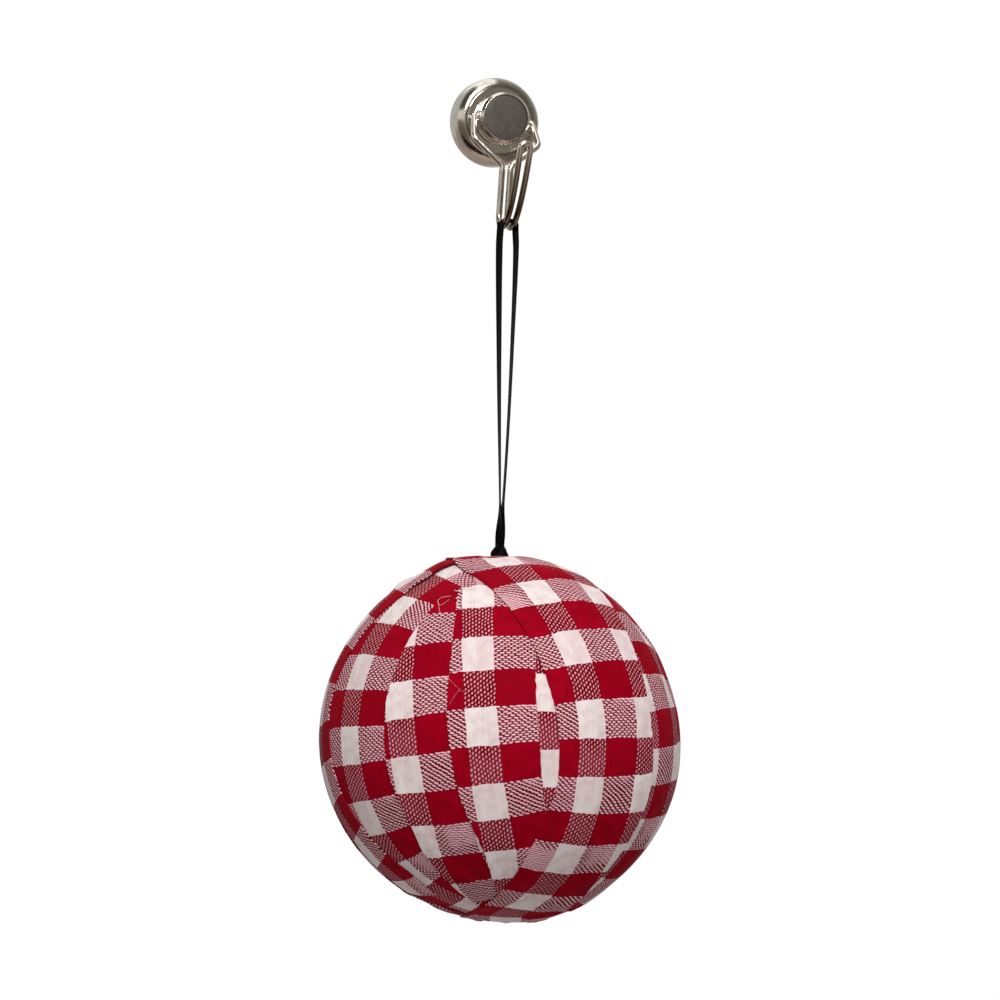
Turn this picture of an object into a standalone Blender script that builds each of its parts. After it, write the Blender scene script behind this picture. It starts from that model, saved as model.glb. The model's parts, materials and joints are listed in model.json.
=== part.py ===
"""Cloth-wrapped hanging ball on a ribbon loop, held by a magnetic swing hook.

The magnet's back face lies on the wall at y = 0, centred on the origin. -Y points out from the wall and
+Z up. The hook carries the ribbon loop, and the ball leans out on the ribbon until it rests on the wall.
"""

import math

import bmesh
import bpy
from mathutils import Vector

MM = 0.001

# Driving sizes of the magnet pot and its swivel, in metres (depths are measured out from the wall)
POT_RADIUS = 12.4 * MM
POT_DEPTH = 7.2 * MM
POT_SIDE = 3.4 * MM
POT_WALL = 1.5 * MM
POT_FLOOR = 2.6 * MM
SHOULDER_RADIUS = 9.6 * MM
MAGNET_SIDE_GAP = 0.5 * MM
RIVET_RADIUS = 1.5 * MM
RIVET_HEAD_RADIUS = 2.9 * MM
RIVET_HEAD = 1.1 * MM
HUB_RADIUS = 7.2 * MM
HUB_FACE_RADIUS = 6.6 * MM
HUB_FLOOR = 1.2 * MM
HUB_HEIGHT = 5.1 * MM
HUB_CHAMFER = 0.7 * MM
CAP_RADIUS = 6.0 * MM
CAP_THICK = 1.0 * MM

# Driving sizes of the bent wire, as distances out from and down from its pivot
WIRE_RADIUS = 0.8 * MM
PIN_LENGTH = 2.5 * MM
WIRE_SIDE_GAP = 0.5 * MM
BEND_SPREAD = 1.0 * MM
BEND_OUT = 4.6 * MM
BEND_DOWN = 7.0 * MM
NECK_HALF = 1.2 * MM
NECK_OUT = 6.6 * MM
NECK_DOWN = 14.2 * MM
TROUGH_OUT = 11.0 * MM
TROUGH_DOWN = 28.0 * MM
TROUGH_RADIUS = 4.0 * MM
TROUGH_END = math.radians(125)
TIP_HALF = 1.45 * MM
TIP_OUT = 21.8 * MM
TIP_DOWN = 11.6 * MM
TIP_EASE = 6.5 * MM
WIRE_BEND_RADIUS = 1.4 * MM

# Driving sizes of the ribbon and its knot
RIBBON_WIDTH = 3.0 * MM
RIBBON_THICK = 0.45 * MM
RIBBON_DROP = 95.6 * MM
RIBBON_TWIST = math.radians(20)
STRAND_HALF_AT_KNOT = 0.5 * MM
STRANDS_MEET = 0.9
STRAND_STEPS = 12
KNOT_RADIUS = 2.3 * MM
KNOT_HEIGHT = 6.0 * MM
PIN_RADIUS = 0.5 * MM
PIN_HEAD_RADIUS = 1.1 * MM
PIN_HEAD = 0.8 * MM
PIN_DEPTH = 24.0 * MM

# Driving sizes of the ball and its cloth strips
CORE_RADIUS = 47.2 * MM
CLOTH_THICK = 0.5 * MM
STRIP_LAP = 3.0 * MM
STRIP_END_WIDTH = 2.0 * MM
LAP_CLEAR = 0.6 * MM
LAP_RAMP = 1.6 * MM

# Shares of the ball's waist from one lower edge to the next, strip by strip from the first strip's start,
# which is given in degrees from the front, rising towards +X. The upper strip of two runs on by the lap.
FIRST_STRIP_START = -92.5
STRIP_SHARES = (39, 22, 22, 14, 30, 33, 33, 34, 33, 33, 33, 34)
# Numbers of the strips that lie on top of the strip before them
LIES_ON_STRIP_BEFORE = (2, 3, 5)

# Clearances between pieces
FIT_GAP = 0.3 * MM
RUN_CLEAR = 0.25 * MM
CLOTH_GAP = 0.45 * MM
WALL_GAP = 0.4 * MM

# Mesh fineness
ROUND_STEPS = 40
PIN_STEPS = 16
STRIP_ROWS = 18
STRIP_COLUMN_DEG = 10

# Sizes that follow from the ones above
floor_depth = POT_DEPTH - POT_FLOOR
magnet_radius = POT_RADIUS - POT_WALL - MAGNET_SIDE_GAP
magnet_thick = floor_depth - FIT_GAP
seat_depth = floor_depth + RIVET_HEAD + FIT_GAP
hub_depth = POT_DEPTH + FIT_GAP
hub_face_depth = hub_depth + HUB_HEIGHT
cap_seat_depth = hub_face_depth - CAP_THICK - FIT_GAP
rivet_head_depth = hub_depth + HUB_FLOOR + FIT_GAP
hole_radius = WIRE_RADIUS + RUN_CLEAR
pivot_depth = cap_seat_depth - hole_radius - FIT_GAP * 1.5
leg_half = HUB_RADIUS + WIRE_RADIUS + WIRE_SIDE_GAP
inner_layer = CORE_RADIUS + CLOTH_GAP
layer_step = CLOTH_THICK + CLOTH_GAP
ball_outer = inner_layer + layer_step + CLOTH_THICK
knot_seat = CORE_RADIUS + CLOTH_GAP + CLOTH_THICK
ball_drop = RIBBON_DROP + KNOT_HEIGHT + knot_seat
trough_depth = pivot_depth + TROUGH_OUT
lean = math.asin((ball_outer + WALL_GAP - trough_depth) / ball_drop)


def clear_scene():
    for item in list(bpy.data.objects):
        bpy.data.objects.remove(item, do_unlink=True)


def make_material(name, colour, roughness, metallic=0.0):
    material = bpy.data.materials.new(name)
    material.use_nodes = True
    shader = material.node_tree.nodes["Principled BSDF"]
    shader.inputs["Base Color"].default_value = (*colour, 1.0)
    shader.inputs["Roughness"].default_value = roughness
    shader.inputs["Metallic"].default_value = metallic
    return material


def add_object(name, data, material, parent=None, location=(0, 0, 0), rotation=(0, 0, 0)):
    item = bpy.data.objects.new(name, data)
    item.location = location
    item.rotation_euler = rotation
    item.parent = parent
    if material:
        data.materials.append(material)
    bpy.context.scene.collection.objects.link(item)
    return item


def add_pivot(name, parent=None, location=(0, 0, 0), rotation=(0, 0, 0)):
    pivot = bpy.data.objects.new(name, None)
    pivot.location = location
    pivot.rotation_euler = rotation
    pivot.parent = parent
    bpy.context.scene.collection.objects.link(pivot)
    return pivot


def mesh_from(name, bm):
    bmesh.ops.recalc_face_normals(bm, faces=bm.faces)
    mesh = bpy.data.meshes.new(name)
    bm.to_mesh(mesh)
    bm.free()
    return mesh


def turned(name, section, steps=ROUND_STEPS):
    """A solid turned about local Z from a closed section of (radius, height) points."""
    bm = bmesh.new()
    corners = [bm.verts.new((radius, 0, height)) for radius, height in section]
    edges = []
    for start, end in zip(corners, corners[1:] + corners[:1]):
        if start.co.x > 0 or end.co.x > 0:
            edges.append(bm.edges.new((start, end)))
    bmesh.ops.spin(bm, geom=corners + edges, cent=(0, 0, 0), axis=(0, 0, 1), angle=math.tau, steps=steps)
    bmesh.ops.remove_doubles(bm, verts=bm.verts, dist=0.001 * MM)
    return mesh_from(name, bm)


def arc(centre_radius, centre_height, radius, start_deg, end_deg, count):
    """Points of a (radius, height) arc, with 0 degrees pointing away from the axis."""
    points = []
    for step in range(count + 1):
        angle = math.radians(start_deg + (end_deg - start_deg) * step / count)
        points.append((centre_radius + radius * math.cos(angle), centre_height + radius * math.sin(angle)))
    return points


def rounded_path(points, radius, count=4):
    """The same path with each inner corner replaced by a short curve that starts radius before it."""
    path = [points[0]]
    for before, corner, after in zip(points, points[1:], points[2:]):
        reach = min(radius, (before - corner).length * 0.45, (after - corner).length * 0.45)
        start = corner + (before - corner).normalized() * reach
        end = corner + (after - corner).normalized() * reach
        for step in range(count + 1):
            t = step / count
            path.append(start * (1 - t) ** 2 + corner * 2 * t * (1 - t) + end * t ** 2)
    path.append(points[-1])
    return path


# The base: pot, magnet and rivet are turned about the wall's normal
OUT_FROM_WALL = (math.pi / 2, 0, 0)


def build_base():
    shoulder = POT_RADIUS - SHOULDER_RADIUS
    crown = [
        (POT_RADIUS - shoulder + shoulder * math.cos(math.radians(deg)),
         POT_SIDE + (POT_DEPTH - POT_SIDE) * math.sin(math.radians(deg)))
        for deg in range(0, 91, 15)
    ]
    pot_section = [
        (POT_RADIUS - POT_WALL, 0),
        (POT_RADIUS, 0),
        *crown,
        (RIVET_RADIUS + RUN_CLEAR, POT_DEPTH),
        (RIVET_RADIUS + RUN_CLEAR, seat_depth),
        (RIVET_HEAD_RADIUS + FIT_GAP, seat_depth),
        (RIVET_HEAD_RADIUS + FIT_GAP, floor_depth),
        (POT_RADIUS - POT_WALL, floor_depth),
    ]
    nickel = make_material("pot_nickel", (0.62, 0.59, 0.56), 0.16, 1.0)
    add_object("magnet_pot", turned("magnet_pot", pot_section), nickel, rotation=OUT_FROM_WALL)

    magnet_section = [(0, 0), (magnet_radius, 0), (magnet_radius, magnet_thick), (0, magnet_thick)]
    plating = make_material("magnet_plating", (0.45, 0.45, 0.46), 0.35, 1.0)
    add_object("disc_magnet", turned("disc_magnet", magnet_section), plating, rotation=OUT_FROM_WALL)

    rivet_section = [
        (0, floor_depth),
        (RIVET_HEAD_RADIUS, floor_depth),
        (RIVET_HEAD_RADIUS, floor_depth + RIVET_HEAD),
        (RIVET_RADIUS, floor_depth + RIVET_HEAD),
        (RIVET_RADIUS, rivet_head_depth),
        (RIVET_HEAD_RADIUS, rivet_head_depth),
        (RIVET_HEAD_RADIUS, rivet_head_depth + RIVET_HEAD),
        (0, rivet_head_depth + RIVET_HEAD),
    ]
    steel = make_material("rivet_steel", (0.5, 0.5, 0.5), 0.4, 1.0)
    add_object("swivel_rivet", turned("swivel_rivet", rivet_section, 24), steel, rotation=OUT_FROM_WALL)


def cross_hole_cutter(hub):
    """Two blind holes on the wire's pivot, one from each side of the hub."""
    bm = bmesh.new()
    hole_end = HUB_RADIUS - PIN_LENGTH - FIT_GAP
    reach = PIN_LENGTH * 2
    for side in (-1, 1):
        made = bmesh.ops.create_cone(
            bm, cap_ends=True, segments=PIN_STEPS, radius1=hole_radius, radius2=hole_radius, depth=reach)
        for vert in made["verts"]:
            along = side * (hole_end + reach / 2 + vert.co.z)
            vert.co = Vector((along, vert.co.x, vert.co.y + pivot_depth))
    cutter = add_object("cross_holes", mesh_from("cross_holes", bm), None, rotation=OUT_FROM_WALL)
    cutter.hide_render = True
    cutter.display_type = "WIRE"
    drill = hub.modifiers.new("cross_holes", "BOOLEAN")
    drill.operation = "DIFFERENCE"
    drill.solver = "EXACT"
    drill.object = cutter


def build_hub():
    hub_section = [
        (RIVET_RADIUS + RUN_CLEAR, hub_depth),
        (HUB_RADIUS, hub_depth),
        (HUB_RADIUS, hub_face_depth - HUB_CHAMFER),
        (HUB_FACE_RADIUS, hub_face_depth),
        (CAP_RADIUS + FIT_GAP, hub_face_depth),
        (CAP_RADIUS + FIT_GAP, cap_seat_depth),
        (RIVET_HEAD_RADIUS + FIT_GAP, cap_seat_depth),
        (RIVET_HEAD_RADIUS + FIT_GAP, hub_depth + HUB_FLOOR),
        (RIVET_RADIUS + RUN_CLEAR, hub_depth + HUB_FLOOR),
    ]
    nickel = make_material("hub_nickel", (0.6, 0.57, 0.54), 0.18, 1.0)
    hub = add_object("swivel_hub", turned("swivel_hub", hub_section), nickel, rotation=OUT_FROM_WALL)
    cross_hole_cutter(hub)

    cap_back = hub_face_depth - CAP_THICK
    cap_section = [(0, cap_back), (CAP_RADIUS, cap_back), (CAP_RADIUS, hub_face_depth), (0, hub_face_depth)]
    grey = make_material("cap_grey", (0.24, 0.22, 0.22), 0.5, 0.8)
    add_object("hub_cap", turned("hub_cap", cap_section), grey, rotation=OUT_FROM_WALL)


def wire_half_path():
    """The wire from its right pin, down the back leg, round the trough and up to the tip's side."""
    corners = [
        Vector((HUB_RADIUS - PIN_LENGTH, 0, 0)),
        Vector((leg_half, 0, 0)),
        Vector((leg_half + BEND_SPREAD, -BEND_OUT, -BEND_DOWN)),
        Vector((NECK_HALF, -NECK_OUT, -NECK_DOWN)),
        Vector((NECK_HALF, -(TROUGH_OUT - TROUGH_RADIUS), -TROUGH_DOWN)),
    ]
    path = rounded_path(corners, WIRE_BEND_RADIUS)
    turn_steps = 9
    for step in range(1, turn_steps + 1):
        angle = TROUGH_END * step / turn_steps
        out = TROUGH_OUT - TROUGH_RADIUS * math.cos(angle)
        down = TROUGH_DOWN + TROUGH_RADIUS * math.sin(angle)
        path.append(Vector((NECK_HALF, -out, -down)))
    start = path[-1]
    heading = Vector((0, -math.sin(TROUGH_END), -math.cos(TROUGH_END)))
    bend = start + heading * TIP_EASE
    tip_side = Vector((TIP_HALF, -TIP_OUT, -TIP_DOWN))
    for step in range(1, 9):
        t = step / 8
        path.append(start * (1 - t) ** 2 + bend * 2 * t * (1 - t) + tip_side * t ** 2)
    return path, (tip_side - bend).normalized()


def build_hook(pivot):
    half, heading = wire_half_path()
    tip_turn = []
    for deg in range(30, 180, 30):
        angle = math.radians(deg)
        across = Vector((TIP_HALF * math.cos(angle), half[-1].y, half[-1].z))
        tip_turn.append(across + heading * Vector((0, 1, 1)) * TIP_HALF * math.sin(angle))
    other_half = [Vector((-point.x, point.y, point.z)) for point in reversed(half)]
    path = half + tip_turn + other_half
    curve = bpy.data.curves.new("wire_hook", "CURVE")
    curve.dimensions = "3D"
    curve.bevel_depth = WIRE_RADIUS
    curve.bevel_resolution = 2
    curve.use_fill_caps = True
    spline = curve.splines.new("POLY")
    spline.points.add(len(path) - 1)
    for point, place in zip(spline.points, path):
        point.co = (*place, 1.0)
    nickel = make_material("wire_nickel", (0.58, 0.54, 0.5), 0.18, 1.0)
    add_object("wire_hook", curve, nickel, pivot)


def ribbon_path():
    """Points and turning angles of the ribbon, from the knot over the hook and back to the knot."""
    wrap = WIRE_RADIUS + FIT_GAP + RIBBON_THICK / 2
    side = NECK_HALF + wrap
    sag = TROUGH_RADIUS - WIRE_RADIUS - math.sqrt((TROUGH_RADIUS - WIRE_RADIUS) ** 2 - (RIBBON_WIDTH / 2) ** 2)
    top = -TROUGH_RADIUS + wrap + sag
    foot = -(RIBBON_DROP - FIT_GAP)
    shoulder = top - wrap
    rise = []
    for step in range(STRAND_STEPS):
        share = 1 - step / STRAND_STEPS
        parted = min(max((STRANDS_MEET - share) / STRANDS_MEET, 0), 1)
        half = STRAND_HALF_AT_KNOT + (side - STRAND_HALF_AT_KNOT) * parted
        rise.append((half, shoulder + (foot - shoulder) * share))
    for deg in range(0, 91, 30):
        angle = math.radians(deg)
        rise.append((NECK_HALF + wrap * math.cos(angle), shoulder + wrap * math.sin(angle)))
    left = [Vector((-x, 0, z)) for x, z in rise]
    right = [Vector((x, 0, z)) for x, z in reversed(rise)]
    return left + right


def build_ribbon(pivot):
    path = ribbon_path()
    bm = bmesh.new()
    rings = []
    for index, point in enumerate(path):
        ahead = path[min(index + 1, len(path) - 1)] - path[max(index - 1, 0)]
        flow = ahead.normalized()
        straight = TROUGH_RADIUS * 2
        share = min(max((-point.z - straight) / (RIBBON_DROP - straight), 0), 1)
        turn = RIBBON_TWIST * share
        wide = Vector((math.sin(turn), math.cos(turn), 0))
        wide = (wide - flow * wide.dot(flow)).normalized() * RIBBON_WIDTH / 2
        thick = flow.cross(wide).normalized() * RIBBON_THICK / 2
        middle = Vector((0, 0, point.z))
        offset = point - middle
        place = middle + Vector((offset.x * math.cos(turn), -offset.x * math.sin(turn), 0))
        corners = (wide + thick, thick - wide, -wide - thick, wide - thick)
        rings.append([bm.verts.new(place + corner) for corner in corners])
    for near, far in zip(rings, rings[1:]):
        for side in range(4):
            after = (side + 1) % 4
            bm.faces.new((near[side], near[after], far[after], far[side]))
    bm.faces.new(rings[0])
    bm.faces.new(rings[-1])
    satin = make_material("ribbon_satin", (0.012, 0.012, 0.013), 0.4)
    add_object("ribbon_loop", mesh_from("ribbon_loop", bm), satin, pivot)


def build_knot(ball):
    """The knot is tied round the head of a pin that goes down into the core."""
    head_low = knot_seat + KNOT_HEIGHT * 0.3
    pocket_radius = PIN_HEAD_RADIUS + FIT_GAP
    knot_section = [
        (PIN_RADIUS + FIT_GAP, knot_seat),
        (KNOT_RADIUS * 0.75, knot_seat),
        (KNOT_RADIUS * 0.95, knot_seat + KNOT_HEIGHT * 0.18),
        (KNOT_RADIUS, knot_seat + KNOT_HEIGHT * 0.42),
        (KNOT_RADIUS * 0.9, knot_seat + KNOT_HEIGHT * 0.64),
        (KNOT_RADIUS * 0.62, knot_seat + KNOT_HEIGHT * 0.86),
        (KNOT_RADIUS * 0.4, knot_seat + KNOT_HEIGHT),
        (0, knot_seat + KNOT_HEIGHT),
        (0, head_low + PIN_HEAD + FIT_GAP),
        (pocket_radius, head_low + PIN_HEAD + FIT_GAP),
        (pocket_radius, head_low - FIT_GAP),
        (PIN_RADIUS + FIT_GAP, head_low - FIT_GAP),
    ]
    satin = make_material("knot_satin", (0.012, 0.012, 0.013), 0.45)
    add_object("ribbon_knot", turned("ribbon_knot", knot_section, 24), satin, ball)

    pin_end = CORE_RADIUS - PIN_DEPTH
    pin_section = [
        (0, pin_end),
        (PIN_RADIUS, pin_end + PIN_RADIUS * 3),
        (PIN_RADIUS, head_low),
        (PIN_HEAD_RADIUS, head_low),
        (PIN_HEAD_RADIUS, head_low + PIN_HEAD),
        (0, head_low + PIN_HEAD),
    ]
    steel = make_material("pin_steel", (0.6, 0.6, 0.6), 0.3, 1.0)
    add_object("anchor_pin", turned("anchor_pin", pin_section, PIN_STEPS), steel, ball)


def build_core(ball):
    hole = PIN_RADIUS + FIT_GAP
    hole_end = CORE_RADIUS - PIN_DEPTH - FIT_GAP * 2
    start_deg = -90
    end_deg = math.degrees(math.acos(hole / CORE_RADIUS))
    outline = arc(0, 0, CORE_RADIUS, start_deg, end_deg, 20)
    section = [(0, -CORE_RADIUS), *outline[1:], (hole, hole_end), (0, hole_end)]
    foam = make_material("core_foam", (0.86, 0.86, 0.84), 0.9)
    add_object("foam_core", turned("foam_core", section), foam, ball)


def ease(value, low, high):
    return min(max((value - low) / (high - low), 0), 1)


def lap_columns(spread, width):
    """Distances in from a lapped edge's line, with the share of one layer that each is raised by.

    spread is the sine of the angle from the pole: towards the poles the lap runs out to a butt joint.
    """
    clear = min(LAP_CLEAR, width * 0.25)
    edge = clear - (STRIP_LAP + clear) * ease(spread, 0.42, 0.62)
    raised = ease(spread, 0.14, 0.3)
    room = min(1, spread / 0.5)
    knee = max(edge, 0) + clear * room
    return [(edge, raised), (knee, raised), (knee + min(LAP_RAMP, width * 0.25) * room, 0.0)]


def strip_row(start, end, start_on_top, end_on_top, polar, columns):
    """One row across a strip, as (turn in radians, raised share) from its start edge to its end edge."""
    spread = math.sin(polar)
    per_metre = 1 / (inner_layer * spread)
    width = (end - start) / per_metre
    left = lap_columns(spread, width) if start_on_top else [(0, 0.0)]
    right = lap_columns(spread, width) if end_on_top else [(0, 0.0)]
    row = [(start + inward * per_metre, raised) for inward, raised in left]
    row_end = [(end - inward * per_metre, raised) for inward, raised in reversed(right)]
    first, last = row[-1][0], row_end[0][0]
    for column in range(1, columns):
        row.append((first + (last - first) * column / columns, 0.0))
    return row + row_end


def build_strip(number, start_deg, end_deg, start_on_top, end_on_top, cloth, ball):
    start, end = math.radians(start_deg), math.radians(end_deg)
    columns = max(2, math.ceil((end_deg - start_deg) / STRIP_COLUMN_DEG))
    polar_end = math.asin(STRIP_END_WIDTH / (inner_layer * (end - start)))
    bm = bmesh.new()
    layers = ([], [])
    for step in range(STRIP_ROWS + 1):
        polar = polar_end + (math.pi - 2 * polar_end) * step / STRIP_ROWS
        row = strip_row(start, end, start_on_top, end_on_top, polar, columns)
        for layer, rise in zip(layers, (0, CLOTH_THICK)):
            verts = []
            for turn, raised in row:
                radius = inner_layer + raised * layer_step + rise
                flat = radius * math.sin(polar)
                verts.append(bm.verts.new((flat * math.sin(turn), -flat * math.cos(turn), radius * math.cos(polar))))
            layer.append(verts)
    inner, outer = layers
    last = len(inner[0]) - 1
    for row in range(STRIP_ROWS):
        for column in range(last):
            for grid in layers:
                near, far = grid[row], grid[row + 1]
                bm.faces.new((near[column], near[column + 1], far[column + 1], far[column]))
        for column in (0, last):
            bm.faces.new((inner[row][column], outer[row][column], outer[row + 1][column], inner[row + 1][column]))
    for row in (0, STRIP_ROWS):
        for column in range(last):
            bm.faces.new((inner[row][column], inner[row][column + 1], outer[row][column + 1], outer[row][column]))
    name = f"cloth_strip_{number:02d}"
    add_object(name, mesh_from(name, bm), cloth, ball)


def build_strips(ball):
    start = FIRST_STRIP_START
    count = len(STRIP_SHARES)
    for number, share in enumerate(STRIP_SHARES, 1):
        end = start + 360 * share / sum(STRIP_SHARES)
        start_on_top = number in LIES_ON_STRIP_BEFORE
        end_on_top = number % count + 1 not in LIES_ON_STRIP_BEFORE
        cloth = make_material(f"gingham_{number:02d}", (0.55, 0.12, 0.15), 0.85)
        build_strip(number, start, end, start_on_top, end_on_top, cloth, ball)
        start = end


def build():
    clear_scene()
    build_base()
    build_hub()
    hook_pivot = add_pivot("hook_pivot", location=(0, -pivot_depth, 0))
    build_hook(hook_pivot)
    loop_pivot = add_pivot("loop_pivot", hook_pivot, (0, -TROUGH_OUT, -TROUGH_DOWN), (-lean, 0, 0))
    build_ribbon(loop_pivot)
    ball_pivot = add_pivot("ball_pivot", loop_pivot, (0, 0, -ball_drop))
    build_knot(ball_pivot)
    build_core(ball_pivot)
    build_strips(ball_pivot)
    bpy.context.view_layer.update()
    print(f"pivot depth {pivot_depth:.5f}, trough {trough_depth:.5f}, lean {math.degrees(lean):.2f} deg")
    print("ball centre", tuple(round(value, 5) for value in ball_pivot.matrix_world.translation))


build()
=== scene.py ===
"""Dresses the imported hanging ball: a foam ball in gingham strips, on a ribbon loop and a magnetic swing hook.

Sizes are written in millimetres times MM. The wall is the plane y = 0, and +Z is up.
"""
import json
import math

import bmesh
import bpy
import numpy as np
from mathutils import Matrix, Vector, noise


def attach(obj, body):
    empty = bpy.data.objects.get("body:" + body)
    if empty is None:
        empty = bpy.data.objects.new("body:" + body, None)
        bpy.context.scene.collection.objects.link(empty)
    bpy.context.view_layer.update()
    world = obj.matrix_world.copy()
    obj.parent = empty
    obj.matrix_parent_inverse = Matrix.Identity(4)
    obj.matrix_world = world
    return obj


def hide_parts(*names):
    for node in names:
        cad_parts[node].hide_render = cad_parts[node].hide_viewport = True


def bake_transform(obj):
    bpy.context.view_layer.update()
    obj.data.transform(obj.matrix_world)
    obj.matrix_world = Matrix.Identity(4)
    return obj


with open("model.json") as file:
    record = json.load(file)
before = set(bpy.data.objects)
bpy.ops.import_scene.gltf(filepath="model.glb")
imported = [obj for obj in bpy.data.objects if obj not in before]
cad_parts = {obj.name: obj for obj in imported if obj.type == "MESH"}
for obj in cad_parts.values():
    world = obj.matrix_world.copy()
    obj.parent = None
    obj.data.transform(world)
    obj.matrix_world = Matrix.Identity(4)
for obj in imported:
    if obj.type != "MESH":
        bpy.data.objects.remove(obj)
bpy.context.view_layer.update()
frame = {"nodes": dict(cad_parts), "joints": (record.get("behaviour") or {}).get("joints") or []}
MM = 0.001


# Magnet pot: a cup of mild steel, drawn and turned, with bright nickel plate that has fine handling marks.
# Its shoulder is rolled over, and its open back holds the magnet against the wall.
POT_RADIUS = 12.4 * MM
POT_WALL = 1.5 * MM
POT_DEPTH = 7.2 * MM
POT_SIDE = 3.4 * MM
POT_FLOOR_DEPTH = 4.6 * MM
POT_EDGE = 0.3 * MM
SHOULDER_RADIUS = 9.6 * MM
SHOULDER_STEP = 0.2 * MM
FACE_DOME = 0.3 * MM
RIVET_SEAT_DEPTH = 6.0 * MM
RIVET_HOLE = 1.75 * MM
RIVET_POCKET = 3.2 * MM
NICKEL_BRIGHT = (0.72, 0.69, 0.65, 1)
NICKEL_DULL = (0.58, 0.53, 0.48, 1)


def add_piece(name, bm, material, crease_deg=32):
    """A new object of the mesh, smooth except where its faces meet at more than crease_deg."""
    bmesh.ops.recalc_face_normals(bm, faces=bm.faces)
    mesh = bpy.data.meshes.new(name)
    bm.to_mesh(mesh)
    bm.free()
    mesh.shade_smooth()
    mesh.set_sharp_from_angle(angle=math.radians(crease_deg))
    mesh.materials.append(material)
    piece = bpy.data.objects.new(name, mesh)
    bpy.context.scene.collection.objects.link(piece)
    return piece


def turned(section, steps=128):
    """A closed (radius, depth) outline turned about the wall's normal, with depth out from the wall."""
    bm = bmesh.new()
    rings = []
    for radius, depth in section:
        if radius == 0:
            rings.append([bm.verts.new((0, -depth, 0))] * steps)
            continue
        angles = [2 * math.pi * step / steps for step in range(steps)]
        rings.append([bm.verts.new((radius * math.cos(a), -depth, radius * math.sin(a))) for a in angles])
    for near, far in zip(rings, rings[1:] + rings[:1]):
        for step in range(steps):
            after = (step + 1) % steps
            corners = dict.fromkeys((near[step], near[after], far[after], far[step]))
            if len(corners) > 2:
                bm.faces.new(corners)
    return bm


def rounded(centre, radii, start_deg, end_deg, count=8):
    """Points of an arc in a (radius, depth) outline; two radii make it part of an ellipse."""
    points = []
    for step in range(count + 1):
        angle = math.radians(start_deg + (end_deg - start_deg) * step / count)
        points.append((centre[0] + radii[0] * math.cos(angle), centre[1] + radii[1] * math.sin(angle)))
    return points


def node(tree, kind, *values, **settings):
    """A shader node with its settings and, in socket order, its values or links; returns its first output."""
    made = tree.nodes.new("ShaderNode" + kind)
    for name, value in settings.items():
        setattr(made, name, value)
    for socket, value in zip(made.inputs, values):
        if isinstance(value, bpy.types.NodeSocket):
            tree.links.new(value, socket)
        elif value is not None:
            socket.default_value = value
    return made.outputs[0]


def calc(tree, operation, *values):
    return node(tree, "Math", *values, operation=operation)


def mix_colour(tree, share, first, second):
    made = tree.nodes.new("ShaderNodeMix")
    made.data_type = "RGBA"
    for index, value in ((0, share), (6, first), (7, second)):
        if isinstance(value, bpy.types.NodeSocket):
            tree.links.new(value, made.inputs[index])
        else:
            made.inputs[index].default_value = value
    return made.outputs[2]


def new_group(name, inputs, outputs):
    """An empty node group with named sockets, as its tree, its input sockets and its output node."""
    tree = bpy.data.node_groups.new(name, "ShaderNodeTree")
    for label, kind in inputs:
        tree.interface.new_socket(label, in_out="INPUT", socket_type=kind)
    for label, kind in outputs:
        tree.interface.new_socket(label, in_out="OUTPUT", socket_type=kind)
    entry = tree.nodes.new("NodeGroupInput")
    leave = tree.nodes.new("NodeGroupOutput")
    return tree, entry.outputs, leave.inputs


def use_group(tree, group, *values):
    """The group placed in a material with its own values; returns its outputs."""
    made = tree.nodes.new("ShaderNodeGroup")
    made.node_tree = group
    for socket, value in zip(made.inputs, values):
        if isinstance(value, bpy.types.NodeSocket):
            tree.links.new(value, socket)
        else:
            socket.default_value = value
    return made.outputs


def new_material(name, **constants):
    """A material with its Principled shader; constants are set straight on the shader's sockets."""
    material = bpy.data.materials.new(name)
    material.use_nodes = True
    shader = material.node_tree.nodes["Principled BSDF"]
    for label, value in constants.items():
        shader.inputs[label.replace("_", " ")].default_value = value
    return material, material.node_tree, shader


def set_bump(tree, shader, height, strength, distance):
    bump = tree.nodes.new("ShaderNodeBump")
    bump.inputs["Strength"].default_value = strength
    bump.inputs["Distance"].default_value = distance
    tree.links.new(height, bump.inputs["Height"])
    tree.links.new(bump.outputs["Normal"], shader.inputs["Normal"])


def object_place(tree):
    return tree.nodes.new("ShaderNodeTexCoord").outputs["Object"]


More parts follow.
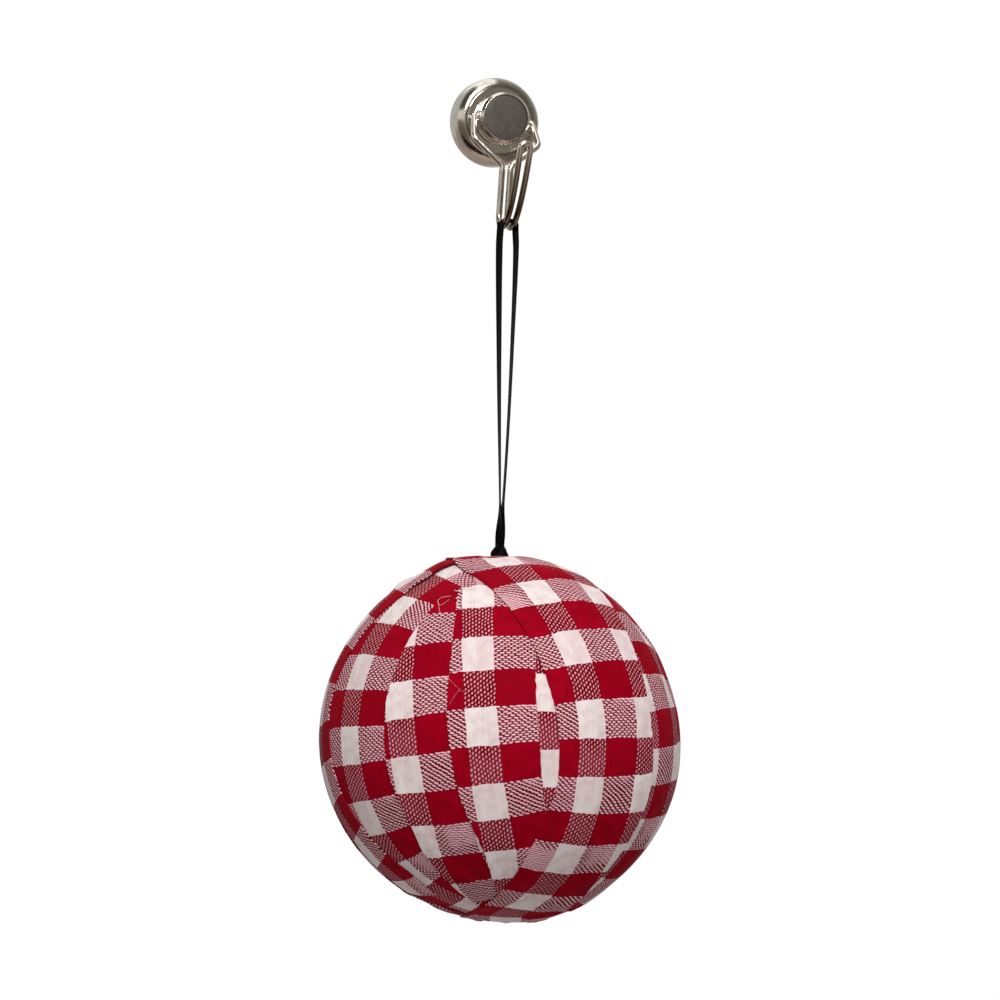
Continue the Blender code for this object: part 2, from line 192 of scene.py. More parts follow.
def handling_marks_group():
    """Smudges of fingers, hairline scratches and tiny pits, for every metal piece."""
    tree, given, result = new_group(
        "handling_marks",
        [("Place", "NodeSocketVector"), ("Smooth", "NodeSocketFloat"), ("Dull", "NodeSocketFloat")],
        [("Smudge", "NodeSocketFloat"), ("Roughness", "NodeSocketFloat"), ("Height", "NodeSocketFloat")],
    )
    cloudy = node(tree, "TexNoise", given["Place"], None, 260.0, 4.0, 0.6)
    smudge = node(tree, "MapRange", cloudy, 0.42, 0.68, 0.0, 1.0, interpolation_type="SMOOTHSTEP")
    drawn_out = node(tree, "Mapping", given["Place"], None, (0.3, 0.5, 0.9), (700.0, 9000.0, 2600.0))
    hairs = node(tree, "TexNoise", drawn_out, None, 1.0, 2.0, 0.5)
    scratch = node(tree, "MapRange", hairs, 0.63, 0.72, 0.0, 1.0)
    pitted = node(tree, "TexNoise", given["Place"], None, 2400.0, 1.0, 0.5)
    pit = node(tree, "MapRange", pitted, 0.30, 0.22, 0.0, 1.0)
    marks = calc(tree, "MAXIMUM", scratch, pit)
    spread = calc(tree, "MULTIPLY_ADD", marks, 0.35, smudge)
    tree.links.new(smudge, result["Smudge"])
    between = node(tree, "MapRange", spread, 0.0, 1.35, given["Smooth"], given["Dull"])
    tree.links.new(between, result["Roughness"])
    tree.links.new(calc(tree, "MULTIPLY", marks, -1.0), result["Height"])
    return tree


handling_marks = handling_marks_group()


def plated_metal(name, bright, dull, smooth_to, dull_to, pitting=1.0):
    material, tree, shader = new_material(name, Metallic=1.0)
    marks = use_group(tree, handling_marks, object_place(tree), smooth_to, dull_to)
    tree.links.new(mix_colour(tree, marks["Smudge"], bright, dull), shader.inputs["Base Color"])
    tree.links.new(marks["Roughness"], shader.inputs["Roughness"])
    set_bump(tree, shader, marks["Height"], 0.25 * pitting, 0.00002)
    return material


crown = rounded((SHOULDER_RADIUS, POT_SIDE), (POT_RADIUS - SHOULDER_RADIUS, POT_DEPTH - POT_SIDE), 0, 80, 24)
face_radius = SHOULDER_RADIUS - SHOULDER_STEP * 2
pot_outline = [
    (POT_RADIUS - POT_WALL, 0),
    *rounded((POT_RADIUS - POT_EDGE, POT_EDGE), (POT_EDGE, POT_EDGE), -90, 0),
    *crown,
    (SHOULDER_RADIUS - SHOULDER_STEP, POT_DEPTH - SHOULDER_STEP - FACE_DOME),
    *[(face_radius * (1 - step / 8), POT_DEPTH - FACE_DOME * (1 - step / 8) ** 2) for step in range(7)],
    (RIVET_HOLE, POT_DEPTH),
    (RIVET_HOLE, RIVET_SEAT_DEPTH),
    (RIVET_POCKET, RIVET_SEAT_DEPTH),
    (RIVET_POCKET, POT_FLOOR_DEPTH),
    (POT_RADIUS - POT_WALL, POT_FLOOR_DEPTH),
]
pot_nickel = plated_metal("pot_nickel", NICKEL_BRIGHT, NICKEL_DULL, 0.08, 0.22)
pot = add_piece("pot_shell", turned(pot_outline), pot_nickel)
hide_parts("magnet_pot")
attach(pot, "base")


# Disc magnet: a pressed and sintered ring-free disc, ground flat and thinly plated, glued into the pot.
# Its back is flush with the pot's rim and shows the circles of the grinding wheel.
MAGNET_RADIUS = 10.4 * MM
MAGNET_THICK = 4.3 * MM
MAGNET_EDGE = 0.35 * MM
GRINDING_RINGS_PER_M = 2600.0
MAGNET_PALE = (0.50, 0.50, 0.51, 1)
MAGNET_DARK = (0.34, 0.34, 0.35, 1)

magnet_plate, tree, shader = new_material("magnet_plate", Metallic=1.0)
place = object_place(tree)
marks = use_group(tree, handling_marks, place, 0.30, 0.52)
flat_place = node(tree, "VectorMath", place, (1.0, 0.0, 1.0), operation="MULTIPLY")
from_centre = node(tree, "VectorMath", flat_place, operation="LENGTH")
from_centre = from_centre.node.outputs["Value"]
rings = calc(tree, "SINE", calc(tree, "MULTIPLY", from_centre, GRINDING_RINGS_PER_M * 2 * math.pi))
tree.links.new(mix_colour(tree, marks["Smudge"], MAGNET_PALE, MAGNET_DARK), shader.inputs["Base Color"])
tree.links.new(marks["Roughness"], shader.inputs["Roughness"])
set_bump(tree, shader, calc(tree, "MULTIPLY_ADD", rings, 0.5, marks["Height"]), 0.3, 0.00003)
magnet_outline = [
    (0, 0),
    *rounded((MAGNET_RADIUS - MAGNET_EDGE, MAGNET_EDGE), (MAGNET_EDGE, MAGNET_EDGE), -90, 0),
    *rounded((MAGNET_RADIUS - MAGNET_EDGE, MAGNET_THICK - MAGNET_EDGE), (MAGNET_EDGE, MAGNET_EDGE), 0, 90),
    (0, MAGNET_THICK),
]
magnet = add_piece("magnet_disc", turned(magnet_outline), magnet_plate)
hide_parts("disc_magnet")
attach(magnet, "base")


# Swivel rivet: a plain steel rivet through the pot's floor, its front end spread inside the hub.
# It is hidden once the hub's cap is in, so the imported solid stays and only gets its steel.
STEEL_PALE = (0.56, 0.55, 0.54, 1)
STEEL_DARK = (0.40, 0.38, 0.36, 1)

plain_steel = plated_metal("plain_steel", STEEL_PALE, STEEL_DARK, 0.28, 0.48)
rivet_mesh = frame["nodes"]["swivel_rivet"].data
rivet_mesh.materials.clear()
rivet_mesh.materials.append(plain_steel)


# Swivel hub: a turned steel knob, nickel plated, that turns on the rivet in front of the pot.
# Two blind holes across it take the ends of the wire, and a chamfer runs round its front.
HUB_BACK = 7.5 * MM
HUB_FRONT = 12.6 * MM
HUB_RADIUS = 7.2 * MM
HUB_FACE_RADIUS = 6.6 * MM
HUB_CHAMFER = 0.7 * MM
HUB_EDGE = 0.12 * MM
CAP_POCKET_RADIUS = 6.3 * MM
CAP_POCKET_DEPTH = 11.3 * MM
HUB_FLOOR_DEPTH = 8.7 * MM
PIVOT_DEPTH = 9.8 * MM
CROSS_HOLE_RADIUS = 1.05 * MM
CROSS_HOLE_END = 4.4 * MM
CROSS_HOLE_REACH = 5.0 * MM


def drilled(piece, cutter):
    """The piece with the cutter's shape taken out of it; the cutter is used up."""
    drill = piece.modifiers.new("drill", "BOOLEAN")
    drill.operation = "DIFFERENCE"
    drill.solver = "EXACT"
    drill.object = cutter
    shown = piece.evaluated_get(bpy.context.evaluated_depsgraph_get())
    cut_mesh = bpy.data.meshes.new_from_object(shown)
    piece.modifiers.remove(drill)
    piece.data = cut_mesh
    bpy.data.objects.remove(cutter)


hub_outline = [
    (RIVET_HOLE, HUB_BACK),
    *rounded((HUB_RADIUS - HUB_EDGE, HUB_BACK + HUB_EDGE), (HUB_EDGE, HUB_EDGE), -90, 0, 3),
    *rounded((HUB_RADIUS - HUB_EDGE, HUB_FRONT - HUB_CHAMFER - HUB_EDGE), (HUB_EDGE, HUB_EDGE), 0, 50, 3),
    *rounded((HUB_FACE_RADIUS - HUB_EDGE, HUB_FRONT - HUB_EDGE), (HUB_EDGE, HUB_EDGE), 50, 90, 3),
    (CAP_POCKET_RADIUS, HUB_FRONT),
    (CAP_POCKET_RADIUS, CAP_POCKET_DEPTH),
    (RIVET_POCKET, CAP_POCKET_DEPTH),
    (RIVET_POCKET, HUB_FLOOR_DEPTH),
    (RIVET_HOLE, HUB_FLOOR_DEPTH),
]
hub_nickel = plated_metal("hub_nickel", NICKEL_BRIGHT, NICKEL_DULL, 0.10, 0.25)
hub = add_piece("hub_knob", turned(hub_outline), hub_nickel)
bm = bmesh.new()
for side in (-1, 1):
    hole = bmesh.ops.create_cone(bm, cap_ends=True, segments=32, radius1=CROSS_HOLE_RADIUS,
                                 radius2=CROSS_HOLE_RADIUS, depth=CROSS_HOLE_REACH)
    for vert in hole["verts"]:
        along = side * (CROSS_HOLE_END + CROSS_HOLE_REACH / 2 + vert.co.z)
        vert.co = (along, vert.co.x - PIVOT_DEPTH, vert.co.y)
drilled(hub, add_piece("cross_holes", bm, hub_nickel))
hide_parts("swivel_hub")
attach(hub, "hub")


# Hub cap: a stamped disc with a dull grey finish, pressed into the hub's front over the rivet.
# It is very slightly domed, and its edge is rolled so that a thin line of shade runs round it.
CAP_RADIUS = 6.24 * MM
CAP_BACK = 11.6 * MM
CAP_EDGE = 0.3 * MM
CAP_DOME = 0.12 * MM
CAP_GREY = (0.076, 0.063, 0.053, 1)
CAP_PALE = (0.112, 0.094, 0.080, 1)

cap_grey, tree, shader = new_material("cap_grey", Metallic=0.35)
place = object_place(tree)
marks = use_group(tree, handling_marks, place, 0.46, 0.62)
mottle = node(tree, "TexNoise", place, None, 900.0, 5.0, 0.65)
mottle = node(tree, "MapRange", mottle, 0.35, 0.68, 0.0, 1.0)
tree.links.new(mix_colour(tree, mottle, CAP_GREY, CAP_PALE), shader.inputs["Base Color"])
tree.links.new(marks["Roughness"], shader.inputs["Roughness"])
set_bump(tree, shader, calc(tree, "ADD", mottle, marks["Height"]), 0.25, 0.00003)
cap_outline = [
    (0, CAP_BACK),
    (CAP_RADIUS, CAP_BACK),
    *rounded((CAP_RADIUS - CAP_EDGE, HUB_FRONT - CAP_EDGE - CAP_DOME), (CAP_EDGE, CAP_EDGE), 0, 85),
    (CAP_RADIUS * 0.6, HUB_FRONT - CAP_DOME * 0.4),
    (CAP_RADIUS * 0.3, HUB_FRONT - CAP_DOME * 0.1),
    (0, HUB_FRONT),
]
cap = add_piece("cap_disc", turned(cap_outline, 96), cap_grey)
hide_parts("hub_cap")
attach(cap, "hub")


# Wire hook: one length of 1.6 mm spring wire, bent in a jig and nickel plated, doubled so that two legs run
# side by side. Its ends are sprung into the hub, and its tip is the closed end of the doubled wire.
WIRE_RADIUS = 0.86 * MM
WIRE_SIDES = 24
PIN_END = 4.7 * MM
LEG_HALF = 8.5 * MM
BEND_POINT = (9.5 * MM, 4.6 * MM, 7.0 * MM)
NECK_HALF = 1.2 * MM
NECK_OUT = 6.6 * MM
NECK_DOWN = 14.2 * MM
WIRE_BEND = 1.1 * MM
TROUGH_OUT = 11.0 * MM
TROUGH_DOWN = 28.0 * MM
TROUGH_RADIUS = 4.0 * MM
TROUGH_TURN_DEG = 125
TIP_HALF = 1.45 * MM
TIP_OUT = 21.8 * MM
TIP_DOWN = 11.6 * MM
TIP_EASE = 6.5 * MM
WIRE_BRIGHT = (0.58, 0.53, 0.48, 1)
WIRE_DULL = (0.38, 0.33, 0.285, 1)
# Painted shade: the next colour darkens the front legs low down, standing in for their dim reflection of the room in
# front.
WIRE_PAINTED_SHADE = (0.27, 0.22, 0.175, 1)
# Painted highlight: the pale cream after it lightens the upper wire, standing in for the light it catches there.
WIRE_PAINTED_HIGHLIGHT = (0.96, 0.90, 0.83, 1)
HIGHLIGHT_LOW = -16.5 * MM
HIGHLIGHT_TOP = -13.5 * MM
PAINTED_SHADE_BACK = -18.5 * MM
PAINTED_SHADE_FRONT = -22.5 * MM
PAINTED_SHADE_TOP = -11.0 * MM
PAINTED_SHADE_LOW = -25.0 * MM


def from_pivot(side, out, down):
    return Vector((side, -PIVOT_DEPTH - out, -down))


def eased_corner(before, corner, after, count=8):
    """Points of the short curve that takes the place of a corner of the wire."""
    reach = min(WIRE_BEND, (before - corner).length * 0.45, (after - corner).length * 0.45)
    start = corner + (before - corner).normalized() * reach
    end = corner + (after - corner).normalized() * reach
    shares = [step / count for step in range(count + 1)]
    return [start * (1 - t) ** 2 + corner * 2 * t * (1 - t) + end * t ** 2 for t in shares]


def wire_line():
    """The wire's middle line from its right end, round the hook's tip, to its left end."""
    corners = [
        from_pivot(PIN_END, 0, 0),
        from_pivot(LEG_HALF, 0, 0),
        from_pivot(*BEND_POINT),
        from_pivot(NECK_HALF, NECK_OUT, NECK_DOWN),
        from_pivot(NECK_HALF, TROUGH_OUT - TROUGH_RADIUS, TROUGH_DOWN),
    ]
    half = [corners[0]]
    for before, corner, after in zip(corners, corners[1:], corners[2:]):
        half += eased_corner(before, corner, after)
    for deg in range(0, TROUGH_TURN_DEG + 1, 5):
        angle = math.radians(deg)
        out = TROUGH_OUT - TROUGH_RADIUS * math.cos(angle)
        half.append(from_pivot(NECK_HALF, out, TROUGH_DOWN + TROUGH_RADIUS * math.sin(angle)))
    start = half[-1]
    end_angle = math.radians(TROUGH_TURN_DEG)
    bend = start + Vector((0, -math.sin(end_angle), -math.cos(end_angle))) * TIP_EASE
    tip_side = from_pivot(TIP_HALF, TIP_OUT, TIP_DOWN)
    for step in range(1, 17):
        t = step / 16
        half.append(start * (1 - t) ** 2 + bend * 2 * t * (1 - t) + tip_side * t ** 2)
    heading = (tip_side - bend).normalized()
    tip = []
    for deg in range(12, 180, 12):
        angle = math.radians(deg)
        rise = Vector((0, heading.y, heading.z)) * TIP_HALF * math.sin(angle)
        tip.append(Vector((TIP_HALF * math.cos(angle), tip_side.y, tip_side.z)) + rise)
    return half + tip + [Vector((-point.x, point.y, point.z)) for point in reversed(half)]


def add_tube(bm, line, radius, sides, taper=1.0):
    """Adds a round tube along the line to bm; taper is the share of the radius at its far end."""
    across = (line[1] - line[0]).orthogonal().normalized()
    rings = []
    for index, point in enumerate(line):
        flow = (line[min(index + 1, len(line) - 1)] - line[max(index - 1, 0)]).normalized()
        across = (across - flow * across.dot(flow)).normalized()
        beside = flow.cross(across)
        size = radius * (1 + (taper - 1) * index / (len(line) - 1))
        angles = [2 * math.pi * side / sides for side in range(sides)]
        rings.append([bm.verts.new(point + (across * math.cos(a) + beside * math.sin(a)) * size) for a in angles])
    for near, far in zip(rings, rings[1:]):
        for side in range(sides):
            after = (side + 1) % sides
            bm.faces.new((near[side], near[after], far[after], far[side]))
    bm.faces.new(reversed(rings[0]))
    bm.faces.new(rings[-1])


bm = bmesh.new()
add_tube(bm, wire_line(), WIRE_RADIUS, WIRE_SIDES)
wire_nickel = plated_metal("wire_nickel", WIRE_BRIGHT, WIRE_DULL, 0.12, 0.22, pitting=0.2)
tree = wire_nickel.node_tree
shader = tree.nodes["Principled BSDF"]
plate_colour = shader.inputs["Base Color"].links[0].from_socket
parts = tree.nodes.new("ShaderNodeSeparateXYZ")
tree.links.new(object_place(tree), parts.inputs[0])
# Painted shade on the front legs, darker towards the front and the bottom.
at_front = node(tree, "MapRange", parts.outputs[1], PAINTED_SHADE_BACK, PAINTED_SHADE_FRONT, 0.0, 1.0)
below = node(tree, "MapRange", parts.outputs[2], PAINTED_SHADE_TOP, PAINTED_SHADE_LOW, 0.25, 1.0)
painted_shade = calc(tree, "MULTIPLY", at_front, below)
# Painted highlight: the wire above the neck is lightened to pale cream.
painted_highlight = node(tree, "MapRange", parts.outputs[2], HIGHLIGHT_LOW, HIGHLIGHT_TOP, 0.0, 1.0)
plate_colour = mix_colour(tree, painted_highlight, plate_colour, WIRE_PAINTED_HIGHLIGHT)
tree.links.new(mix_colour(tree, painted_shade, plate_colour, WIRE_PAINTED_SHADE), shader.inputs["Base Color"])
wire = add_piece("bent_wire", bm, wire_nickel)
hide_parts("wire_hook")
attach(wire, "hook")


# Ribbon loop: 3 mm black polyester satin ribbon with woven edges, about 190 mm of it, hung over both wires.
# Its two strands come together above the ball, twist round to face the front and go into the knot.
RIBBON_WIDTH = 3.0 * MM
RIBBON_THICK = 0.34 * MM
RIBBON_TOP = -2.3 * MM
RIBBON_FOOT = -96.4 * MM
RIBBON_WRAP = 1.325 * MM
RIBBON_BULGE = 0.3 * MM
FOOT_TAPER_SHARE = 0.96
FOOT_TAPER = 0.12
STRAND_HALF_AT_KNOT = 0.3 * MM
STRANDS_MEET = 0.9
STRAND_BOW = 1.5
STRAND_STEPS = 60
EDGE_ON_TURN = math.radians(18.5)
LEFT_OPEN_TURN = math.radians(38.6)
LEFT_EDGE_ON_SHARE = 0.93
RIGHT_OPEN_TURN = math.radians(32.5)
RIGHT_LOW_TURN = math.radians(9)
TWIST_FROM_SHARE = 0.85
TWISTED_SHARE = 0.975
KNOT_TURN = math.radians(-29)
KNOT_SIDE = -0.95 * MM
EVEN_LEAN = 0.42
RIBBON_OUTLINE = ((-1, 0), (-0.97, 0.7), (-0.88, 1), (-0.76, 0.7), (0, 0.62), (0.76, 0.7), (0.88, 1), (0.97, 0.7))
SATIN_FACE = (0.0022, 0.0022, 0.0024, 1)
SATIN_SHADE = (0.0006, 0.0006, 0.0007, 1)

joints = {joint["name"]: joint for joint in frame["joints"]}
loop_pivot = Vector(joints["loop_swing"]["pos_m"])
ball_up = Vector(joints["ball_spin"]["axis"]).normalized()
ball_side = Vector((1, 0, 0))
ball_back = ball_up.cross(ball_side)


def down_the_ribbon(side, back, up):
    return loop_pivot + ball_side * side + ball_back * back + ball_up * up


def smooth_share(value):
    share = min(max(value, 0), 1)
    return share * share * (3 - 2 * share)


def strand_turn(strand, share):
    """How far a strand, -1 left or 1 right, has twisted at this share of its drop; both face the front at the knot."""
    open_turn = LEFT_OPEN_TURN * (1 - share / LEFT_EDGE_ON_SHARE)
    if strand > 0:
        open_turn = RIGHT_LOW_TURN + (RIGHT_OPEN_TURN - RIGHT_LOW_TURN) * (1 - share) ** 2.5
    turn = EDGE_ON_TURN - open_turn
    late = smooth_share((share - TWIST_FROM_SHARE) / (TWISTED_SHARE - TWIST_FROM_SHARE))
    return turn + (KNOT_TURN - turn) * late


def knot_lean(share):
    """How far the ribbon leans to the side at this share of its drop, most of it just above the knot."""
    return KNOT_SIDE * (EVEN_LEAN * share + (1 - EVEN_LEAN) * share ** 6)


def strand_stations(strand):
    """Places up one strand from the knot to the top of the hook, each with its lean, its twist and its width."""
    side = NECK_HALF + RIBBON_WRAP
    shoulder = RIBBON_TOP - RIBBON_WRAP
    rise = []
    for step in range(STRAND_STEPS):
        share = 1 - step / STRAND_STEPS
        parted = 1 - min(share / STRANDS_MEET, 1) ** STRAND_BOW
        half = STRAND_HALF_AT_KNOT + (side - STRAND_HALF_AT_KNOT) * parted
        half += RIBBON_BULGE * smooth_share(share / 0.07) * (1 - smooth_share(share / 0.4))
        wide = 1 - FOOT_TAPER * smooth_share((share - FOOT_TAPER_SHARE) / (1 - FOOT_TAPER_SHARE))
        up = shoulder + (RIBBON_FOOT - shoulder) * share
        rise.append((strand * half, up, knot_lean(share), strand_turn(strand, share), wide))
    for deg in range(0, 91, 10):
        angle = math.radians(deg)
        over = (NECK_HALF + RIBBON_WRAP * math.cos(angle), shoulder + RIBBON_WRAP * math.sin(angle))
        rise.append((strand * over[0], over[1], 0, strand_turn(strand, 0) * (1 - deg / 90), 1))
    return rise


def ribbon_mesh():
    """The ribbon's mesh, with its width and length in millimetres as a map for the weave, and its line."""
    places, widths, shares = [], [], []
    for half, up, lean, turn, share in strand_stations(-1) + strand_stations(1)[::-1]:
        places.append(down_the_ribbon(half * math.cos(turn) + lean, -half * math.sin(turn), up))
        widths.append(ball_side * math.sin(turn) + ball_back * math.cos(turn))
        shares.append(share)
    bm = bmesh.new()
    weave = bm.loops.layers.uv.new("weave")
    outline = list(RIBBON_OUTLINE) + [(-across, -thick) for across, thick in RIBBON_OUTLINE]
    rings, run, travelled = [], [], 0
    for index, place in enumerate(places):
        flow = (places[min(index + 1, len(places) - 1)] - places[max(index - 1, 0)]).normalized()
        wide = (widths[index] - flow * widths[index].dot(flow)).normalized()
        thick = flow.cross(wide).normalized()
        travelled += (place - places[max(index - 1, 0)]).length
        run.append(travelled / MM)
        rings.append([
            bm.verts.new(place + wide * across * shares[index] * RIBBON_WIDTH / 2 + thick * up * RIBBON_THICK / 2)
            for across, up in outline
        ])
    for index in range(len(rings) - 1):
        for side in range(len(outline)):
            after = (side + 1) % len(outline)
            near, far = rings[index], rings[index + 1]
            face = bm.faces.new((near[side], near[after], far[after], far[side]))
            spots = ((side, index), (after, index), (after, index + 1), (side, index + 1))
            for loop, (corner, row) in zip(face.loops, spots):
                loop[weave].uv = (outline[corner][0] * RIBBON_WIDTH / 2 / MM, run[row])
    bm.faces.new(reversed(rings[0]))
    bm.faces.new(rings[-1])
    return bm, places


def satin_weave_group():
    """Fine lengthwise floats with cross ribs at the woven edges, for the ribbon and its knot."""
    tree, given, result = new_group(
        "satin_weave",
        [("Weave", "NodeSocketVector"), ("Threads per mm", "NodeSocketFloat"), ("Ribs per mm", "NodeSocketFloat")],
        [("Shade", "NodeSocketFloat"), ("Roughness", "NodeSocketFloat"), ("Height", "NodeSocketFloat")],
    )
    parts = tree.nodes.new("ShaderNodeSeparateXYZ")
    tree.links.new(given["Weave"], parts.inputs[0])
    across, along = parts.outputs[0], parts.outputs[1]
    turns = calc(tree, "MULTIPLY", calc(tree, "MULTIPLY", across, given["Threads per mm"]), 2 * math.pi)
    thread = calc(tree, "MULTIPLY_ADD", calc(tree, "SINE", turns), 0.5, 0.5)
    beats = calc(tree, "MULTIPLY", calc(tree, "MULTIPLY", along, given["Ribs per mm"]), 2 * math.pi)
    rib = calc(tree, "MULTIPLY_ADD", calc(tree, "SINE", beats), 0.5, 0.5)
    at_edge = node(tree, "MapRange", calc(tree, "ABSOLUTE", across), 1.1, 1.2, 0.0, 1.0)
    ribbed = calc(tree, "MULTIPLY", rib, at_edge)
    drawn = node(tree, "Mapping", given["Weave"], None, None, (4.0, 0.5, 1.0))
    streak = node(tree, "TexNoise", drawn, None, 1.6, 3.0, 0.6)
    tree.links.new(node(tree, "MapRange", streak, 0.3, 0.7, 0.0, 1.0), result["Shade"])
    tree.links.new(node(tree, "MapRange", streak, 0.3, 0.7, 0.34, 0.5), result["Roughness"])
    tree.links.new(calc(tree, "MULTIPLY_ADD", thread, 0.4, ribbed), result["Height"])
    return tree


satin_weave = satin_weave_group()


def black_satin(name):
    material, tree, shader = new_material(name, Specular_IOR_Level=0.025)
    weave = use_group(tree, satin_weave, node(tree, "UVMap", uv_map="weave"), 9.0, 4.0)
    tree.links.new(mix_colour(tree, weave["Shade"], SATIN_SHADE, SATIN_FACE), shader.inputs["Base Color"])
    tree.links.new(weave["Roughness"], shader.inputs["Roughness"])
    set_bump(tree, shader, weave["Height"], 0.2, 0.00004)
    return material


bm, ribbon_line = ribbon_mesh()
ribbon = add_piece("satin_ribbon", bm, black_satin("ribbon_satin"), 60)
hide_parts("ribbon_loop")
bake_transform(ribbon)


# Ribbon knot: the two ends of the ribbon tied in one overhand knot and pulled tight on the pin's head.
# The ribbon is crushed to a cord there, so the knot is a small dome with slanting turns.
BALL_CENTRE = Vector(joints["ball_spin"]["pos_m"])
KNOT_LOW = 48.4 * MM
KNOT_TURNS = 3
KNOT_RIDGE = 0.07
KNOT_SIDES = 48
KNOT_PROFILE = (
    (0.8, 0), (2.2, 0.2), (2.45, 1.3), (2.4, 2.4), (2.25, 3.2), (1.9, 4.2), (1.35, 5.1), (1.05, 5.7), (0.6, 5.9),
)


def on_ball(side, back, up):
    return BALL_CENTRE + ball_side * side + ball_back * back + ball_up * up


def smooth_through(points, per_span):
    """A smooth run of points through the given ones, as rows of numbers."""
    ends = np.vstack([2 * points[0] - points[1], points, 2 * points[-1] - points[-2]])
    run = []
    for span in range(len(points) - 1):
        before, start, end, after = ends[span:span + 4]
        for step in range(per_span):
            t = step / per_span
            run.append(0.5 * (2 * start + (end - before) * t + (2 * before - 5 * start + 4 * end - after) * t * t
                              + (3 * start - before - 3 * end + after) * t ** 3))
    return np.array(run + [points[-1]])


bm = bmesh.new()
weave = bm.loops.layers.uv.new("weave")
knot_rings = []
for radius, height in smooth_through(np.array(KNOT_PROFILE), 4):
    ring = []
    for side in range(KNOT_SIDES):
        angle = 2 * math.pi * side / KNOT_SIDES
        slant = angle * KNOT_TURNS + height * 1.6
        bulge = 1 + KNOT_RIDGE * math.sin(slant) + KNOT_RIDGE * 0.5 * math.sin(angle * 2 - height)
        reach = radius * bulge * MM
        spot = (KNOT_SIDE + reach * math.cos(angle), reach * math.sin(angle), KNOT_LOW + height * MM)
        ring.append(bm.verts.new(on_ball(*spot)))
    knot_rings.append(ring)
for row, (near, far) in enumerate(zip(knot_rings, knot_rings[1:])):
    for side in range(KNOT_SIDES):
        after = (side + 1) % KNOT_SIDES
        face = bm.faces.new((near[side], near[after], far[after], far[side]))
        for loop, (column, line) in zip(face.loops, ((side, row), (side + 1, row), (side + 1, row + 1), (side, row + 1))):
            loop[weave].uv = (column * 0.06 + line * 0.12, line * 0.2 - column * 0.1)
bm.faces.new(reversed(knot_rings[0]))
bm.faces.new(knot_rings[-1])
knot = add_piece("satin_knot", bm, black_satin("knot_satin"), 60)
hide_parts("ribbon_knot")
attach(knot, "ball")


# Anchor pin: a headed steel pin pushed through the knot and the cloth into the foam.
# It is hidden in the knot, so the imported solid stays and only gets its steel.
pin_mesh = frame["nodes"]["anchor_pin"].data
pin_mesh.materials.clear()
pin_mesh.materials.append(plain_steel)


# Foam core: a moulded craft ball of expanded beads, which the cloth hides on all sides.
# Its skin shows the beads as shallow cells.
CORE_RADIUS = 48.0 * MM
BEAD = 2.6 * MM
BEAD_DENT = 0.05 * MM
FOAM_WHITE = (0.86, 0.86, 0.84, 1)
FOAM_SEAM = (0.70, 0.70, 0.68, 1)
# Places where the wrapped ball is full or pressed in: longitude and latitude, then height and reach in mm.
BALL_LUMPS = [
    (-20, 72, 0.55, 18), (110, -68, 1.0, 13), (60, 24, -0.6, 20), (62, 19, -0.9, 6), (54, 38, -0.9, 6),
    (68, 4, -0.4, 12), (-124, -45, -0.85, 18), (150, -84, -0.75, 17),
    (-51, 56, 0.7, 5), (-62, 63, 0.6, 7),
]


def towards(longitude, latitude):
    """The direction from the ball's centre, as (side, back, up); longitude 0 is the front and + is to the right."""
    lon, lat = math.radians(longitude), math.radians(latitude)
    return np.array([math.cos(lat) * math.sin(lon), -math.cos(lat) * math.cos(lon), math.sin(lat)])


def swelling(spots, swells):
    """How far the given lumps lift the surface at each spot."""
    lift = np.zeros(len(spots))
    for longitude, latitude, height, reach in swells:
        apart = np.arccos(np.clip(spots @ towards(longitude, latitude), -1, 1)) * CORE_RADIUS / MM
        lift += height * MM * np.exp(-(apart / reach) ** 2)
    return lift


bead_foam, tree, shader = new_material("bead_foam", Roughness=0.9)
cells = tree.nodes.new("ShaderNodeTexVoronoi")
cells.feature = "DISTANCE_TO_EDGE"
cells.inputs["Scale"].default_value = 1 / BEAD
tree.links.new(object_place(tree), cells.inputs["Vector"])
bead = node(tree, "MapRange", cells.outputs["Distance"], 0.0, 0.12, 0.0, 1.0)
tree.links.new(mix_colour(tree, bead, FOAM_SEAM, FOAM_WHITE), shader.inputs["Base Color"])
set_bump(tree, shader, bead, 0.4, 0.0002)
bm = bmesh.new()
bmesh.ops.create_icosphere(bm, subdivisions=5, radius=CORE_RADIUS)
outward = np.array([vert.co.normalized() for vert in bm.verts])
for vert, direction, lump in zip(bm.verts, outward, swelling(outward, BALL_LUMPS)):
    dent = noise.noise(vert.co / BEAD) * BEAD_DENT
    vert.co = on_ball(*(direction * (CORE_RADIUS - BEAD_DENT + dent + lump)))
core = add_piece("foam_ball", bm, bead_foam)
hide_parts("foam_core")
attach(core, "ball")
core.visible_glossy = False


# Cloth strips: twelve strips cut from red and white cotton gingham, yarn dyed and plain woven, glued to the foam
# from pole to pole. Each lies over the edge of the one before it, and the cut edges are left raw.
CLOTH_THICK = 0.34 * MM
CLOTH_GAP = 0.03 * MM
CLOTH_LOW = 48.15 * MM
EDGE_RAMP = 2.0 * MM
EDGE_LIFT = 0.10 * MM
CLOTH_WAVE = 0.07 * MM
CUT_WANDER = 0.10 * MM
ROW_STEP = 1.1 * MM
COLUMN_STEP = 0.95 * MM
WHITE_COLUMN = 9.13
RED_COLUMN = 9.97
CHECK_ROW = 9.85
WARP_PITCH = 0.8304
WEFT_PITCH = 0.62
CLOTH_WHITE = (0.89, 0.785, 0.76, 1)
CLOTH_ROSE = (0.79, 0.62, 0.615, 1)
CLOTH_SHADE = (0.56, 0.47, 0.45, 1)
CLOTH_DASH = (0.90, 0.52, 0.56, 1)
CLOTH_DOT = (0.80, 0.32, 0.36, 1)
CLOTH_RED = (0.365, 0.0005, 0.013, 1)
